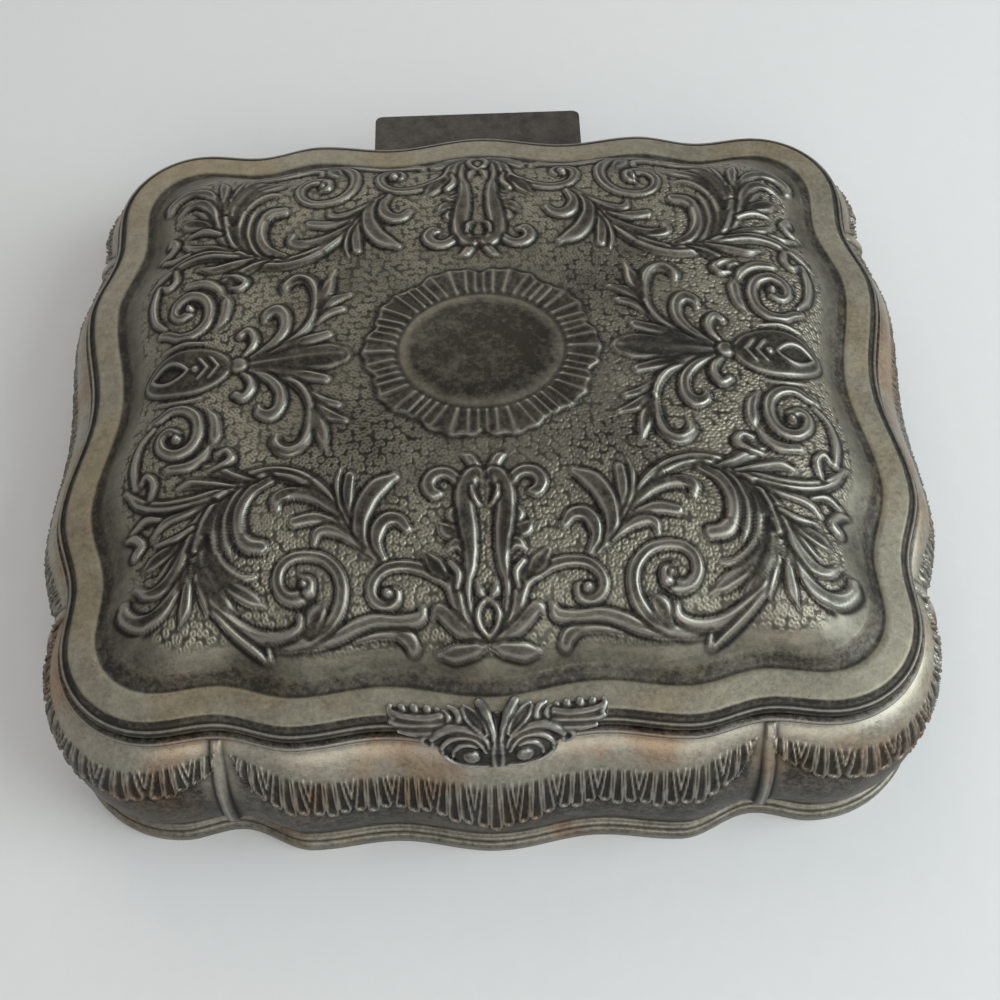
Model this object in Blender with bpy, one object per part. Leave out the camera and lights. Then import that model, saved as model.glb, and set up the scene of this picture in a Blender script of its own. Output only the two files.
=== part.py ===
"""Trinket box in antiqued white metal: a bombe base under a domed, hinged lid.

The plan is a rounded rectangle whose edge swells and dips, the same for every
piece.  +Z is up, the front faces -Y, and the origin is the middle of the
underside.  Lengths are in metres.
"""
import math

import bmesh
import bpy
import numpy as np
from mathutils import Matrix

MM = 0.001

# Clearances
FIT_GAP = 0.3 * MM

# Plan of the rim: a rounded rectangle, before its edge swells
PLAN_HALF_WIDTH = 60.4 * MM
PLAN_HALF_DEPTH = 51.9 * MM
PLAN_CORNER_RADIUS = 14.0 * MM
LEAST_CORNER_RADIUS = 9.0 * MM

# Stations of the swell, measured along the edge from the middle of its side
FRONT_HOLLOW = 15.0 * MM
FRONT_LOBE = 27.0 * MM
FRONT_NOTCH = 38.0 * MM
SIDE_LOBE = 18.0 * MM
SIDE_NOTCH = 31.5 * MM

# Swell past the rectangle, at the rim and at the foot
RIM_FRONT_MIDDLE = 2.0 * MM
RIM_FRONT_HOLLOW = 0.1 * MM
RIM_FRONT_LOBE = 1.3 * MM
RIM_FRONT_NOTCH = -0.8 * MM
RIM_CORNER = 0.0 * MM
RIM_SIDE_NOTCH = -0.3 * MM
RIM_SIDE_LOBE = 2.9 * MM
RIM_SIDE_MIDDLE = 0.3 * MM
FOOT_FRONT_MIDDLE = 2.0 * MM
FOOT_FRONT_HOLLOW = 0.1 * MM
FOOT_FRONT_LOBE = 1.1 * MM
FOOT_FRONT_NOTCH = -2.4 * MM
FOOT_CORNER_FRONT = -1.0 * MM
FOOT_CORNER_SIDE = -4.0 * MM
FOOT_SIDE_NOTCH = -5.0 * MM
FOOT_SIDE_LOBE = -2.5 * MM
FOOT_SIDE_MIDDLE = -1.0 * MM

# The side notches lean towards the corners on their way down to the foot
NOTCH_LEAN = 8.0 * MM
NOTCH_LEAN_SPAN = 12.0 * MM

# Mesh steps in each span from one station to the next
SPAN_STEPS = (3, 3, 3, 2, 4, 1, 2, 4)

# Body: a cast wall, open above and below
BODY_TOP = 22.7 * MM
BODY_WALL = 1.7 * MM
MOULDING_REACH = 0.9 * MM
MOULDING_HEIGHT = 1.2 * MM
NECK_REACH = 0.5 * MM
TOP_LAND_WIDTH = 2.5 * MM
BELLY_REACH = 7.9 * MM
BELLY_HEIGHT = 7.0 * MM
BELLY_ROUNDNESS = 1.6
SHOULDER_STEPS = 6
UNDER_BELLY_REACH = 7.6 * MM
UNDER_BELLY_HEIGHT = 4.8 * MM
ANKLE_REACH = 7.1 * MM
FOOT_REACH = 9.1 * MM
FOOT_HEIGHT = 2.7 * MM
FOOT_EDGE_HEIGHT = 1.5 * MM
FOOT_STEP = 0.8 * MM
FOOT_LAND = 2.7 * MM
LEDGE_WIDTH = 1.5 * MM
LEDGE_HEIGHT = 2.4 * MM
LEDGE_THICKNESS = 1.1 * MM

# Ribs that cover the notches of the body
RIB_WIDTH = 3.0 * MM
RIB_HEIGHT = 0.8 * MM
RIB_STEPS = 4
RIB_TOP_SHARE = 0.33

# Swag of hollowed fingers between the ribs: places from the panel's middle to its rib
# as shares, with the swag's lower and upper edge there
SWAG_PLACES = (0.0, 0.14, 0.28, 0.55, 0.8, 0.92, 1.0)
FRONT_SWAG_LOW = (9.0 * MM, 10.4 * MM, 11.8 * MM, 11.8 * MM, 13.6 * MM, 15.8 * MM, 16.4 * MM)
CORNER_SWAG_LOW = (12.8 * MM, 12.9 * MM, 13.4 * MM, 15.0 * MM, 16.0 * MM, 16.3 * MM, 16.4 * MM)
SIDE_SWAG_LOW = (12.6 * MM, 12.7 * MM, 12.9 * MM, 13.2 * MM, 14.4 * MM, 15.9 * MM, 16.4 * MM)
SWAG_HIGH = (18.6 * MM, 18.5 * MM, 18.4 * MM, 18.6 * MM, 19.4 * MM, 19.6 * MM, 19.6 * MM)
SWAG_PROUD = 0.35 * MM
SWAG_HOLLOW = 0.35 * MM
SWAG_STEP = 0.5 * MM
SWAG_SHARES = (0.0, 0.4, 0.8, 1.0)
WALL_NECK_HEIGHT = 20.7 * MM

# Underside and floor
FELT_THICKNESS = 0.9 * MM
PLATE_THICKNESS = 0.9 * MM
FLOOR_BOARD_THICKNESS = 1.1 * MM
FLOOR_BOARD_MARGIN = 0.4 * MM
FLOOR_PAD_EDGE = 2.2 * MM
FLOOR_PAD_CROWN = 1.3 * MM
LINING_INSET = 5.0 * MM
LINING_THICKNESS = 1.6 * MM
LINING_TOP = 20.6 * MM
LINING_ROLL = 0.4 * MM
PAD_MARGIN = 0.5 * MM
PAD_DRAW_IN = 0.6 * MM
PAD_ROUND = 1.0 * MM
PAD_WIDEST_SHARE = 0.4
PAD_TURN_SHARE = 0.75
PAD_CROWN_STEPS = (0.85, 0.6, 0.3)

# Lid: lip, step, border, flank and dome
LIP_HEIGHT = 1.1 * MM
LID_EDGE_ROUND = 0.3 * MM
STEP_WIDTH = 0.6 * MM
BORDER_INSET = 2.4 * MM
BORDER_OUTER_RISE = 1.0 * MM
BORDER_WIDTH = 4.2 * MM
BORDER_RISE = 0.8 * MM
FLANK_WIDTH = 2.8 * MM
FLANK_RISE = 3.0 * MM
FLANK_BULGE = 0.7 * MM
FLANK_STEPS = 3
SHOULDER_RISE = 3.2 * MM
SHOULDER_WIDTH = 7.0 * MM
CROWN_RISE = 6.0 * MM
DOME_STEPS = (0.97, 0.925, 0.87, 0.81, 0.74, 0.66, 0.575, 0.49, 0.41)
UNDER_DOME_STEPS = (0.92, 0.78, 0.56)
LID_SPAN_STEPS = (4, 4, 4, 3, 4, 2, 3, 5)

# The ornament's main forms on the dome, in the front right quarter: place, half
# length, half width, turn in degrees and height
SCROLL_HEIGHT = 0.75 * MM
LARGE_VOLUTE = (24.3 * MM, -36.0 * MM, 5.2 * MM, 4.8 * MM, 0, SCROLL_HEIGHT)
SMALL_VOLUTE = (13.0 * MM, -36.3 * MM, 3.8 * MM, 3.4 * MM, 0, SCROLL_HEIGHT)
KNOT = (0.0 * MM, -40.0 * MM, 4.0 * MM, 3.6 * MM, 0, SCROLL_HEIGHT)
STEM = (2.0 * MM, -29.0 * MM, 2.4 * MM, 11.0 * MM, 0, SCROLL_HEIGHT)
SPRIG = (16.0 * MM, -26.0 * MM, 3.4 * MM, 7.0 * MM, 0, SCROLL_HEIGHT)
ARCH = (28.5 * MM, -20.5 * MM, 9.0 * MM, 2.8 * MM, 0, SCROLL_HEIGHT)
FAN = (38.0 * MM, -29.0 * MM, 4.6 * MM, 9.0 * MM, 25, SCROLL_HEIGHT)
FAN_TAIL = (47.0 * MM, -35.0 * MM, 5.0 * MM, 3.0 * MM, 0, SCROLL_HEIGHT)
CORNER_LEAF = (45.0 * MM, -22.5 * MM, 7.0 * MM, 2.6 * MM, 0, SCROLL_HEIGHT)
SIDE_VOLUTE = (43.5 * MM, -10.8 * MM, 4.0 * MM, 4.4 * MM, 0, SCROLL_HEIGHT)
SIDE_HUSK = (43.5 * MM, 0.0 * MM, 6.6 * MM, 3.6 * MM, 0, SCROLL_HEIGHT)
PALMETTE = (27.0 * MM, 0.0 * MM, 7.0 * MM, 2.2 * MM, 0, SCROLL_HEIGHT)
PALMETTE_SCROLL = (25.5 * MM, -10.5 * MM, 3.2 * MM, 5.6 * MM, 0, SCROLL_HEIGHT)
LID_WALL = 1.4 * MM
LID_LAND = 2.2 * MM

# Oval reserve in the middle of the lid, in a raised ring
RING_HALF_WIDTH = 17.3 * MM
RING_HALF_DEPTH = 14.9 * MM
RING_WIDTH = 5.6 * MM
RING_HEIGHT = 0.9 * MM
RING_STEPS = 4

# Lining of the lid
LID_BOARD_INSET = 5.2 * MM
LID_BOARD_THICKNESS = 1.0 * MM
LID_PAD_INSET = 6.6 * MM
LID_PAD_EDGE = 1.8 * MM
LID_PAD_CROWN = 1.1 * MM

# Thumb ornament: a small casting over the front of the rim, wide at its wings
ORNAMENT_TOP = 5.0 * MM
ORNAMENT_WING_ROOT = 14.0 * MM
ORNAMENT_HALF_WIDTH = 15.0 * MM
ORNAMENT_WING_EDGE = 13.6 * MM
ORNAMENT_WAIST = 11.0 * MM
ORNAMENT_EYES = 9.2 * MM
ORNAMENT_TAIL = 7.0 * MM
ORNAMENT_INSET = 5.6 * MM
ORNAMENT_DROP = 2.9 * MM
ORNAMENT_STANDOFF = 1.1 * MM
ORNAMENT_THICKNESS = 1.5 * MM
ORNAMENT_STEPS = 14

# Hinge at the back
HINGE_REACH = 4.6 * MM
HINGE_WIDTH = 30.0 * MM
KNUCKLE_RADIUS = 1.05 * MM
KNUCKLE_GAP = 0.25 * MM
KNUCKLE_COUNT = 5
KNUCKLE_SIDES = 20
PIN_RADIUS = 0.5 * MM
PIN_HEAD_RADIUS = 0.9 * MM
PIN_HEAD_LENGTH = 0.5 * MM
LEAF_HALF_WIDTH = 18.0 * MM
LEAF_THICKNESS = 0.9 * MM
LEAF_TAIL = 2.8 * MM
LEAF_SEAT = 3.9 * MM
LEAF_CORNER_RADIUS = 1.2 * MM
LEAF_CORNER_STEPS = 4
SEAT_REACH = 3.4 * MM
SEAT_DEPTH = 1.6 * MM
SOLDER_GAP = 0.45 * MM

# Heights and places that follow
LID_BOTTOM = BODY_TOP + FIT_GAP
LID_EDGE = LID_BOTTOM + LIP_HEIGHT
BORDER_OUTER = LID_EDGE + LID_EDGE_ROUND + BORDER_OUTER_RISE
BORDER_INNER = BORDER_OUTER + BORDER_RISE
PANEL_INSET = BORDER_INSET + BORDER_WIDTH + FLANK_WIDTH
PANEL_HEIGHT = BORDER_INNER + FLANK_RISE
HINGE_Y = PLAN_HALF_DEPTH + RIM_FRONT_MIDDLE + HINGE_REACH
LEAF_TOP = LID_BOTTOM - FIT_GAP
LEAF_BOTTOM = LEAF_TOP - LEAF_THICKNESS
HINGE_HEIGHT = LEAF_BOTTOM - KNUCKLE_GAP - KNUCKLE_RADIUS
PLATE_TOP = LEDGE_HEIGHT - FIT_GAP
FLOOR_BOARD_BOTTOM = PLATE_TOP + FIT_GAP
FLOOR_BOARD_TOP = FLOOR_BOARD_BOTTOM + FLOOR_BOARD_THICKNESS
SMOOTH_ANGLE = math.radians(35)


def quarter_stations():
    """Distance of each station along a quarter of the plan, from the front's middle."""
    corner_start = PLAN_HALF_WIDTH - PLAN_CORNER_RADIUS
    corner_end = corner_start + PLAN_CORNER_RADIUS * math.pi / 2
    total = corner_end + PLAN_HALF_DEPTH - PLAN_CORNER_RADIUS
    return np.array([
        0.0, FRONT_HOLLOW, FRONT_LOBE, FRONT_NOTCH, corner_start, corner_end,
        total - SIDE_NOTCH, total - SIDE_LOBE, total,
    ])


def swell(along, deepening):
    """Swell at a distance along the quarter: half a cosine wave joins each two stations."""
    rim = np.array([
        RIM_FRONT_MIDDLE, RIM_FRONT_HOLLOW, RIM_FRONT_LOBE, RIM_FRONT_NOTCH, RIM_CORNER,
        RIM_CORNER, RIM_SIDE_NOTCH, RIM_SIDE_LOBE, RIM_SIDE_MIDDLE,
    ])
    foot = np.array([
        FOOT_FRONT_MIDDLE, FOOT_FRONT_HOLLOW, FOOT_FRONT_LOBE, FOOT_FRONT_NOTCH,
        FOOT_CORNER_FRONT, FOOT_CORNER_SIDE, FOOT_SIDE_NOTCH, FOOT_SIDE_LOBE, FOOT_SIDE_MIDDLE,
    ])
    stations = quarter_stations()
    span = np.clip(np.searchsorted(stations, along, side="right") - 1, 0, len(stations) - 2)
    share = (along - stations[span]) / (stations[span + 1] - stations[span])
    ease = (1 - np.cos(np.pi * share)) / 2
    above = rim[span] + (rim[span + 1] - rim[span]) * ease
    below = foot[span] + (foot[span + 1] - foot[span]) * ease
    return above + (below - above) * deepening


def leaned(along, deepening):
    """Places along the quarter, drawn towards the corner next to the side notch."""
    near = (along - rib_centres()[1]) / NOTCH_LEAN_SPAN
    return along - NOTCH_LEAN * deepening * np.exp(-near ** 2)


def all_round(quarter):
    """Values of a quarter, mirrored to go once round as the outline does."""
    half = np.concatenate([quarter, quarter[-2::-1]])
    return np.concatenate([half, half[-2:0:-1]])


def samples(span_steps):
    """Places along the quarter where a ring has its points, so many in each span."""
    stations = quarter_stations()
    spans = zip(stations[:-1], stations[1:], span_steps)
    places = [np.linspace(start, end, steps, endpoint=False) for start, end, steps in spans]
    return np.concatenate(places + [stations[-1:]])


def plain_samples():
    """Places along the quarter of most pieces."""
    return samples(SPAN_STEPS)


def rib_centres():
    """The two notches of a quarter, as distances along it."""
    stations = quarter_stations()
    return stations[3], stations[6]


def ribbed_samples():
    """Plain samples, with closer ones across each rib in place of those that lie on it."""
    places = plain_samples()
    for centre in rib_centres():
        places = places[np.abs(places - centre) > RIB_WIDTH / 2 + FIT_GAP]
        across = centre + np.linspace(-RIB_WIDTH / 2, RIB_WIDTH / 2, RIB_STEPS + 1)
        places = np.concatenate([places, across])
    return np.sort(places)


def rib_swell(along):
    """Half a cosine wave across each rib, 1 on its crest and 0 at its edges."""
    share = np.zeros_like(along)
    for centre in rib_centres():
        near = np.clip(np.abs(along - centre) / (RIB_WIDTH / 2), 0, 1)
        share = np.maximum(share, np.cos(near * math.pi / 2))
    return share


def outline(offset, along, deepening=0.0, proud=0.0):
    """Closed plan curve, offset from the rim and swelling at the stations.

    The front right quarter is worked out, then mirrored to go once round from the
    middle of the front, counter-clockwise from above.
    """
    radius = np.maximum(PLAN_CORNER_RADIUS + offset, LEAST_CORNER_RADIUS)
    across = PLAN_HALF_WIDTH + offset - radius
    back = PLAN_HALF_DEPTH + offset - radius
    stations = quarter_stations()
    corner_start, corner_end, total = stations[4], stations[5], stations[8]
    place = leaned(along, deepening)
    front_share = np.clip(place / corner_start, 0, 1)
    turn = np.clip((place - corner_start) / (corner_end - corner_start), 0, 1) * math.pi / 2
    side_share = np.clip((total - place) / (total - corner_end), 0, 1)
    normal = np.stack([np.sin(turn), -np.cos(turn)], axis=1)
    centre = np.stack([across * front_share, -back * side_share], axis=1)
    reach = radius + swell(along, deepening) + proud
    quarter = centre + normal * reach[:, None]
    right_back = quarter[-2::-1] * [1, -1]
    half = np.concatenate([quarter, right_back])
    left = half[-2:0:-1] * [-1, 1]
    return np.concatenate([half, left])


def ring(offset, height, along, deepening=0.0, proud=0.0):
    """The outline at one height, as points in space."""
    flat = outline(offset, along, deepening, proud)
    if np.ndim(height):
        return np.column_stack([flat, all_round(height)])
    return np.column_stack([flat, np.full(len(flat), height)])


def material(name, colour, roughness, metallic):
    """Principled material with a plain colour."""
    finish = bpy.data.materials.new(name)
    finish.use_nodes = True
    shader = finish.node_tree.nodes["Principled BSDF"]
    shader.inputs["Base Color"].default_value = (*colour, 1.0)
    shader.inputs["Roughness"].default_value = roughness
    shader.inputs["Metallic"].default_value = metallic
    return finish


def add_object(name, mesh_data, finish, origin=(0.0, 0.0, 0.0), parent=None):
    """Put a bmesh, drawn in box coordinates, into an object whose origin is given."""
    bmesh.ops.recalc_face_normals(mesh_data, faces=mesh_data.faces[:])
    bmesh.ops.translate(mesh_data, verts=mesh_data.verts[:], vec=[-value for value in origin])
    mesh = bpy.data.meshes.new(name)
    mesh_data.to_mesh(mesh)
    mesh_data.free()
    mesh.shade_smooth()
    mesh.set_sharp_from_angle(angle=SMOOTH_ANGLE)
    if finish:
        mesh.materials.append(finish)
    piece = bpy.data.objects.new(name, mesh)
    bpy.context.collection.objects.link(piece)
    piece.location = origin
    if parent:
        piece.parent = parent
        piece.location = [value - base for value, base in zip(origin, parent.location)]
    return piece


def skin(rings, joined=False):
    """Quads between matching rings; the end rings are filled, or joined to each other."""
    mesh_data = bmesh.new()
    rows = [[mesh_data.verts.new(point) for point in points] for points in rings]
    pairs = list(zip(rows[:-1], rows[1:]))
    if joined:
        pairs.append((rows[-1], rows[0]))
    for lower, upper in pairs:
        for index in range(len(lower)):
            after = (index + 1) % len(lower)
            mesh_data.faces.new((lower[index], lower[after], upper[after], upper[index]))
    if not joined:
        mesh_data.faces.new(rows[0])
        mesh_data.faces.new(rows[-1])
    return mesh_data


def prism(profile, start, end):
    """A closed (y, z) profile carried along X."""
    ends = [[(x, y, z) for y, z in profile] for x in (start, end)]
    return skin(ends)


def cylinder(radius, start, end):
    """A round bar along the hinge axis."""
    turns = [2 * math.pi * side / KNUCKLE_SIDES for side in range(KNUCKLE_SIDES)]
    profile = [
        (HINGE_Y + radius * math.cos(turn), HINGE_HEIGHT + radius * math.sin(turn)) for turn in turns
    ]
    return prism(profile, start, end)


def box(low, high):
    """A block between two corners."""
    mesh_data = bmesh.new()
    size = [top - bottom for bottom, top in zip(low, high)]
    middle = [(top + bottom) / 2 for bottom, top in zip(low, high)]
    frame = Matrix.Translation(middle) @ Matrix.Diagonal((*size, 1))
    bmesh.ops.create_cube(mesh_data, size=1.0, matrix=frame)
    return mesh_data


def combine(piece, name, mesh_data, operation):
    """Boolean modifier on a piece, with its operand kept as a hidden guide."""
    guide = add_object(name, mesh_data, None, parent=piece.parent)
    guide.hide_render = True
    guide.display_type = "WIRE"
    modifier = piece.modifiers.new(name, "BOOLEAN")
    modifier.operation = operation
    modifier.solver = "EXACT"
    modifier.object = guide


def shoulder(height):
    """Reach of the outer wall above the belly, on a superellipse from neck to belly."""
    climb = (height - BELLY_HEIGHT) / (BODY_TOP - MOULDING_HEIGHT - BELLY_HEIGHT)
    span = (1 - np.clip(climb, 0, 1) ** BELLY_ROUNDNESS) ** (1 / BELLY_ROUNDNESS)
    return NECK_REACH + (BELLY_REACH - NECK_REACH) * span


def depth_share(height):
    """How far the swell has changed from the rim's to the foot's at a height."""
    return np.clip(1 - height / BODY_TOP, 0, 1)


def shoulder_heights():
    """Heights of the rings between neck and belly, closer together near the neck."""
    shares = np.sin(np.linspace(0, math.pi / 2, SHOULDER_STEPS + 1))
    return BELLY_HEIGHT + (BODY_TOP - MOULDING_HEIGHT - BELLY_HEIGHT) * shares[::-1]


def wall_rings(clearance=0.0, along=None, rib=0.0):
    """Outer surface of the body from its neck down to its ankle."""
    rings = []
    for height in shoulder_heights():
        fade = rib * min((BODY_TOP - height) / (BODY_TOP - BELLY_HEIGHT) + RIB_TOP_SHARE, 1.0)
        proud = fade * rib_swell(along)
        reach = shoulder(height) + clearance
        rings.append(ring(reach, height, along, depth_share(height), proud))
    reach = UNDER_BELLY_REACH + clearance
    share = depth_share(UNDER_BELLY_HEIGHT)
    rings.append(ring(reach, UNDER_BELLY_HEIGHT, along, share, rib * rib_swell(along)))
    rings.append(ring(ANKLE_REACH + clearance, FOOT_HEIGHT, along, 1.0, rib * rib_swell(along) / 2))
    return rings


def swag_edges(along):
    """Lower and upper edge of the swag at places along the quarter."""
    front_rib, side_rib = rib_centres()
    total = quarter_stations()[8]
    middle, reach = (front_rib + side_rib) / 2, (side_rib - front_rib) / 2
    on_corner = (along > front_rib) & (along < side_rib)
    share = np.where(along <= front_rib, along / front_rib, (total - along) / (total - side_rib))
    share = np.where(on_corner, np.abs(along - middle) / reach, share)
    low = np.interp(share, SWAG_PLACES, FRONT_SWAG_LOW)
    low = np.where(on_corner, np.interp(share, SWAG_PLACES, CORNER_SWAG_LOW), low)
    low = np.where(along >= side_rib, np.interp(share, SWAG_PLACES, SIDE_SWAG_LOW), low)
    return low, np.interp(share, SWAG_PLACES, SWAG_HIGH)


def fluted(along):
    """1 on every second place along the quarter and 0 on the others, for the hollows."""
    return (np.arange(len(along)) % 2).astype(float)


def body_wall_rings(along):
    """Outer surface of the body from its neck to its ankle, with ribs and swags."""
    low, high = swag_edges(along)
    neck = BODY_TOP - MOULDING_HEIGHT
    rows = [(np.full(len(along), height), 0.0) for height in (neck, WALL_NECK_HEIGHT)]
    for share in SWAG_SHARES:
        height = high + (low - high) * share
        hollow = SWAG_HOLLOW * fluted(along) * (0.0 < share < 1.0)
        rows.append((height, SWAG_PROUD * min(share * 2, 1.0) - hollow))
    rows.append((low - SWAG_STEP, 0.0))
    rows.append(((low - SWAG_STEP + BELLY_HEIGHT) / 2, 0.0))
    rows.append((np.full(len(along), BELLY_HEIGHT), 0.0))
    rings = []
    for height, relief in rows:
        fade = np.minimum((BODY_TOP - height) / (BODY_TOP - BELLY_HEIGHT) + RIB_TOP_SHARE, 1.0)
        on_rib = rib_swell(along)
        proud = fade * on_rib * RIB_HEIGHT + relief * (on_rib == 0)
        rings.append(ring(shoulder(height), height, along, depth_share(height), proud))
    return rings + wall_rings(along=along, rib=RIB_HEIGHT)[SHOULDER_STEPS + 1:]


def body_shell(finish):
    """Cast wall: moulded top edge, bombe side with ribs, stepped foot, hollow inside."""
    along = ribbed_samples()
    top = BODY_TOP
    land = NECK_REACH - TOP_LAND_WIDTH
    neck = top - MOULDING_HEIGHT
    step = MOULDING_HEIGHT / 4
    outer = [
        ring(NECK_REACH, top, along),
        ring(MOULDING_REACH, top - step, along),
        ring(MOULDING_REACH, neck + step, along),
    ]
    outer += body_wall_rings(along)
    outer += [
        ring(ANKLE_REACH + FOOT_STEP, FOOT_HEIGHT, along, 1.0),
        ring(FOOT_REACH, FOOT_EDGE_HEIGHT, along, 1.0),
        ring(FOOT_REACH, 0.0, along, 1.0),
        ring(FOOT_REACH - FOOT_LAND, 0.0, along, 1.0),
        ring(FOOT_REACH - FOOT_LAND, LEDGE_HEIGHT, along, 1.0),
        ring(FOOT_REACH - FOOT_LAND - LEDGE_WIDTH, LEDGE_HEIGHT, along, 1.0),
    ]
    ledge_top = LEDGE_HEIGHT + LEDGE_THICKNESS
    inner = [ring(FOOT_REACH - FOOT_LAND - LEDGE_WIDTH, ledge_top, along, 1.0)]
    for height in shoulder_heights()[:0:-2]:
        inner.append(ring(shoulder(height) - BODY_WALL, height, along, depth_share(height)))
    inner.append(ring(land, neck, along))
    inner.append(ring(land, top, along))
    piece = add_object("body_shell", skin(outer + inner, joined=True), finish)
    notch_half = LEAF_HALF_WIDTH + FIT_GAP
    low = (-notch_half, PLAN_HALF_DEPTH - TOP_LAND_WIDTH - SEAT_REACH, LEAF_BOTTOM - FIT_GAP)
    high = (notch_half, HINGE_Y, top + FIT_GAP)
    combine(piece, "leaf_notch_cutter", box(low, high), "DIFFERENCE")
    return piece


def sheet(name, offset, bottom, thickness, finish, deepening=0.0, parent=None):
    """A flat sheet cut to the plan; one that lies in the foot has the foot's own points."""
    along = ribbed_samples() if deepening else plain_samples()
    rings = [ring(offset, height, along, deepening) for height in (bottom, bottom + thickness)]
    return add_object(name, skin(rings), finish, (0.0, 0.0, bottom), parent)


def draw_in(along):
    """Share of the draw-in of a pad's sides: all of it mid-side, none at the corner."""
    stations = quarter_stations()
    corner_start, corner_end, total = stations[4], stations[5], stations[8]
    front = np.cos(np.clip(along / corner_start, 0, 1) * math.pi / 2)
    side = np.cos(np.clip((total - along) / (total - corner_end), 0, 1) * math.pi / 2)
    return np.maximum(front, side)


def pad(name, offset, base, edge, crown, direction, finish, parent=None):
    """A velvet cushion: flat on its board, round at its sides, crowned on its face.

    direction is 1 for a pad that faces up and -1 for one that faces down.
    """
    along = plain_samples()
    pull = -PAD_DRAW_IN * draw_in(along)
    profile = (
        (PAD_ROUND / 2, 0.0), (0.0, edge * PAD_WIDEST_SHARE),
        (PAD_ROUND / 4, edge * PAD_TURN_SHARE), (PAD_ROUND, edge),
    )
    rings = []
    for inset, rise in profile:
        rings.append(ring(offset - inset, base + direction * rise, along, proud=pull))
    brim = outline(offset - PAD_ROUND, along, proud=pull)
    for share in PAD_CROWN_STEPS:
        height = base + direction * (edge + crown * (1 - share ** 2))
        rings.append(np.column_stack([brim * share, np.full(len(brim), height)]))
    return add_object(name, skin(rings), finish, (0.0, 0.0, base), parent)


def wall_lining(finish):
    """Velvet band that stands inside the body, with a rolled top edge."""
    along = plain_samples()
    outside, inside = -LINING_INSET, -LINING_INSET - LINING_THICKNESS
    bottom = FLOOR_BOARD_TOP + FIT_GAP
    section = (
        (outside, bottom), (outside, LINING_TOP - LINING_ROLL), (outside - LINING_ROLL, LINING_TOP),
        (inside + LINING_ROLL, LINING_TOP), (inside, LINING_TOP - LINING_ROLL), (inside, bottom),
    )
    rings = [ring(offset, height, along) for offset, height in section]
    return add_object("wall_lining", skin(rings, joined=True), finish, (0.0, 0.0, bottom))


def dome_rise(share):
    """Height of the dome over its edge, at a share of the way from middle to edge.

    A steep parabola next to the edge, the shoulder, carries a wide one, the crown.
    """
    width = SHOULDER_WIDTH / (PLAN_HALF_DEPTH - PANEL_INSET)
    into = min(max((share - 1 + width) / width, 0.0), 1.0)
    return SHOULDER_RISE * (1 - into ** 2) + CROWN_RISE * (1 - share ** 2)


def oval(edge, half_width, half_depth):
    """The ellipse whose points lie in step with those of an outline."""
    width, depth = np.abs(edge).max(axis=0)
    turn = np.arctan2(edge[:, 1] / depth, edge[:, 0] / width)
    return np.column_stack([half_width * np.cos(turn), half_depth * np.sin(turn)])


def ornament_relief(flat):
    """Height of the ornament's main forms: bell-shaped mounds, and the highest one counts."""
    x, y = np.abs(flat[:, 0]), -np.abs(flat[:, 1])
    forms = (
        LARGE_VOLUTE, SMALL_VOLUTE, KNOT, STEM, SPRIG, ARCH, FAN, FAN_TAIL, CORNER_LEAF,
        SIDE_VOLUTE, SIDE_HUSK, PALMETTE, PALMETTE_SCROLL,
    )
    relief = np.zeros(len(flat))
    for middle_x, middle_y, half_length, half_width, degrees, height in forms:
        turn = math.radians(degrees)
        across, down = x - middle_x, y - middle_y
        length = (across * math.cos(turn) + down * math.sin(turn)) / half_length
        width = (down * math.cos(turn) - across * math.sin(turn)) / half_width
        relief = np.maximum(relief, height * np.exp(-(length ** 2 + width ** 2)))
    return relief


def dome_ring(edge, base, share):
    """Level ring of a dome, turning from its edge outline into an oval further in."""
    width, depth = np.abs(edge).max(axis=0)
    roundness = 1 - share ** 2
    flat = (edge * (1 - roundness) + oval(edge, width, depth) * roundness) * share
    return np.column_stack([flat, np.full(len(edge), base + dome_rise(share))])


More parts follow.
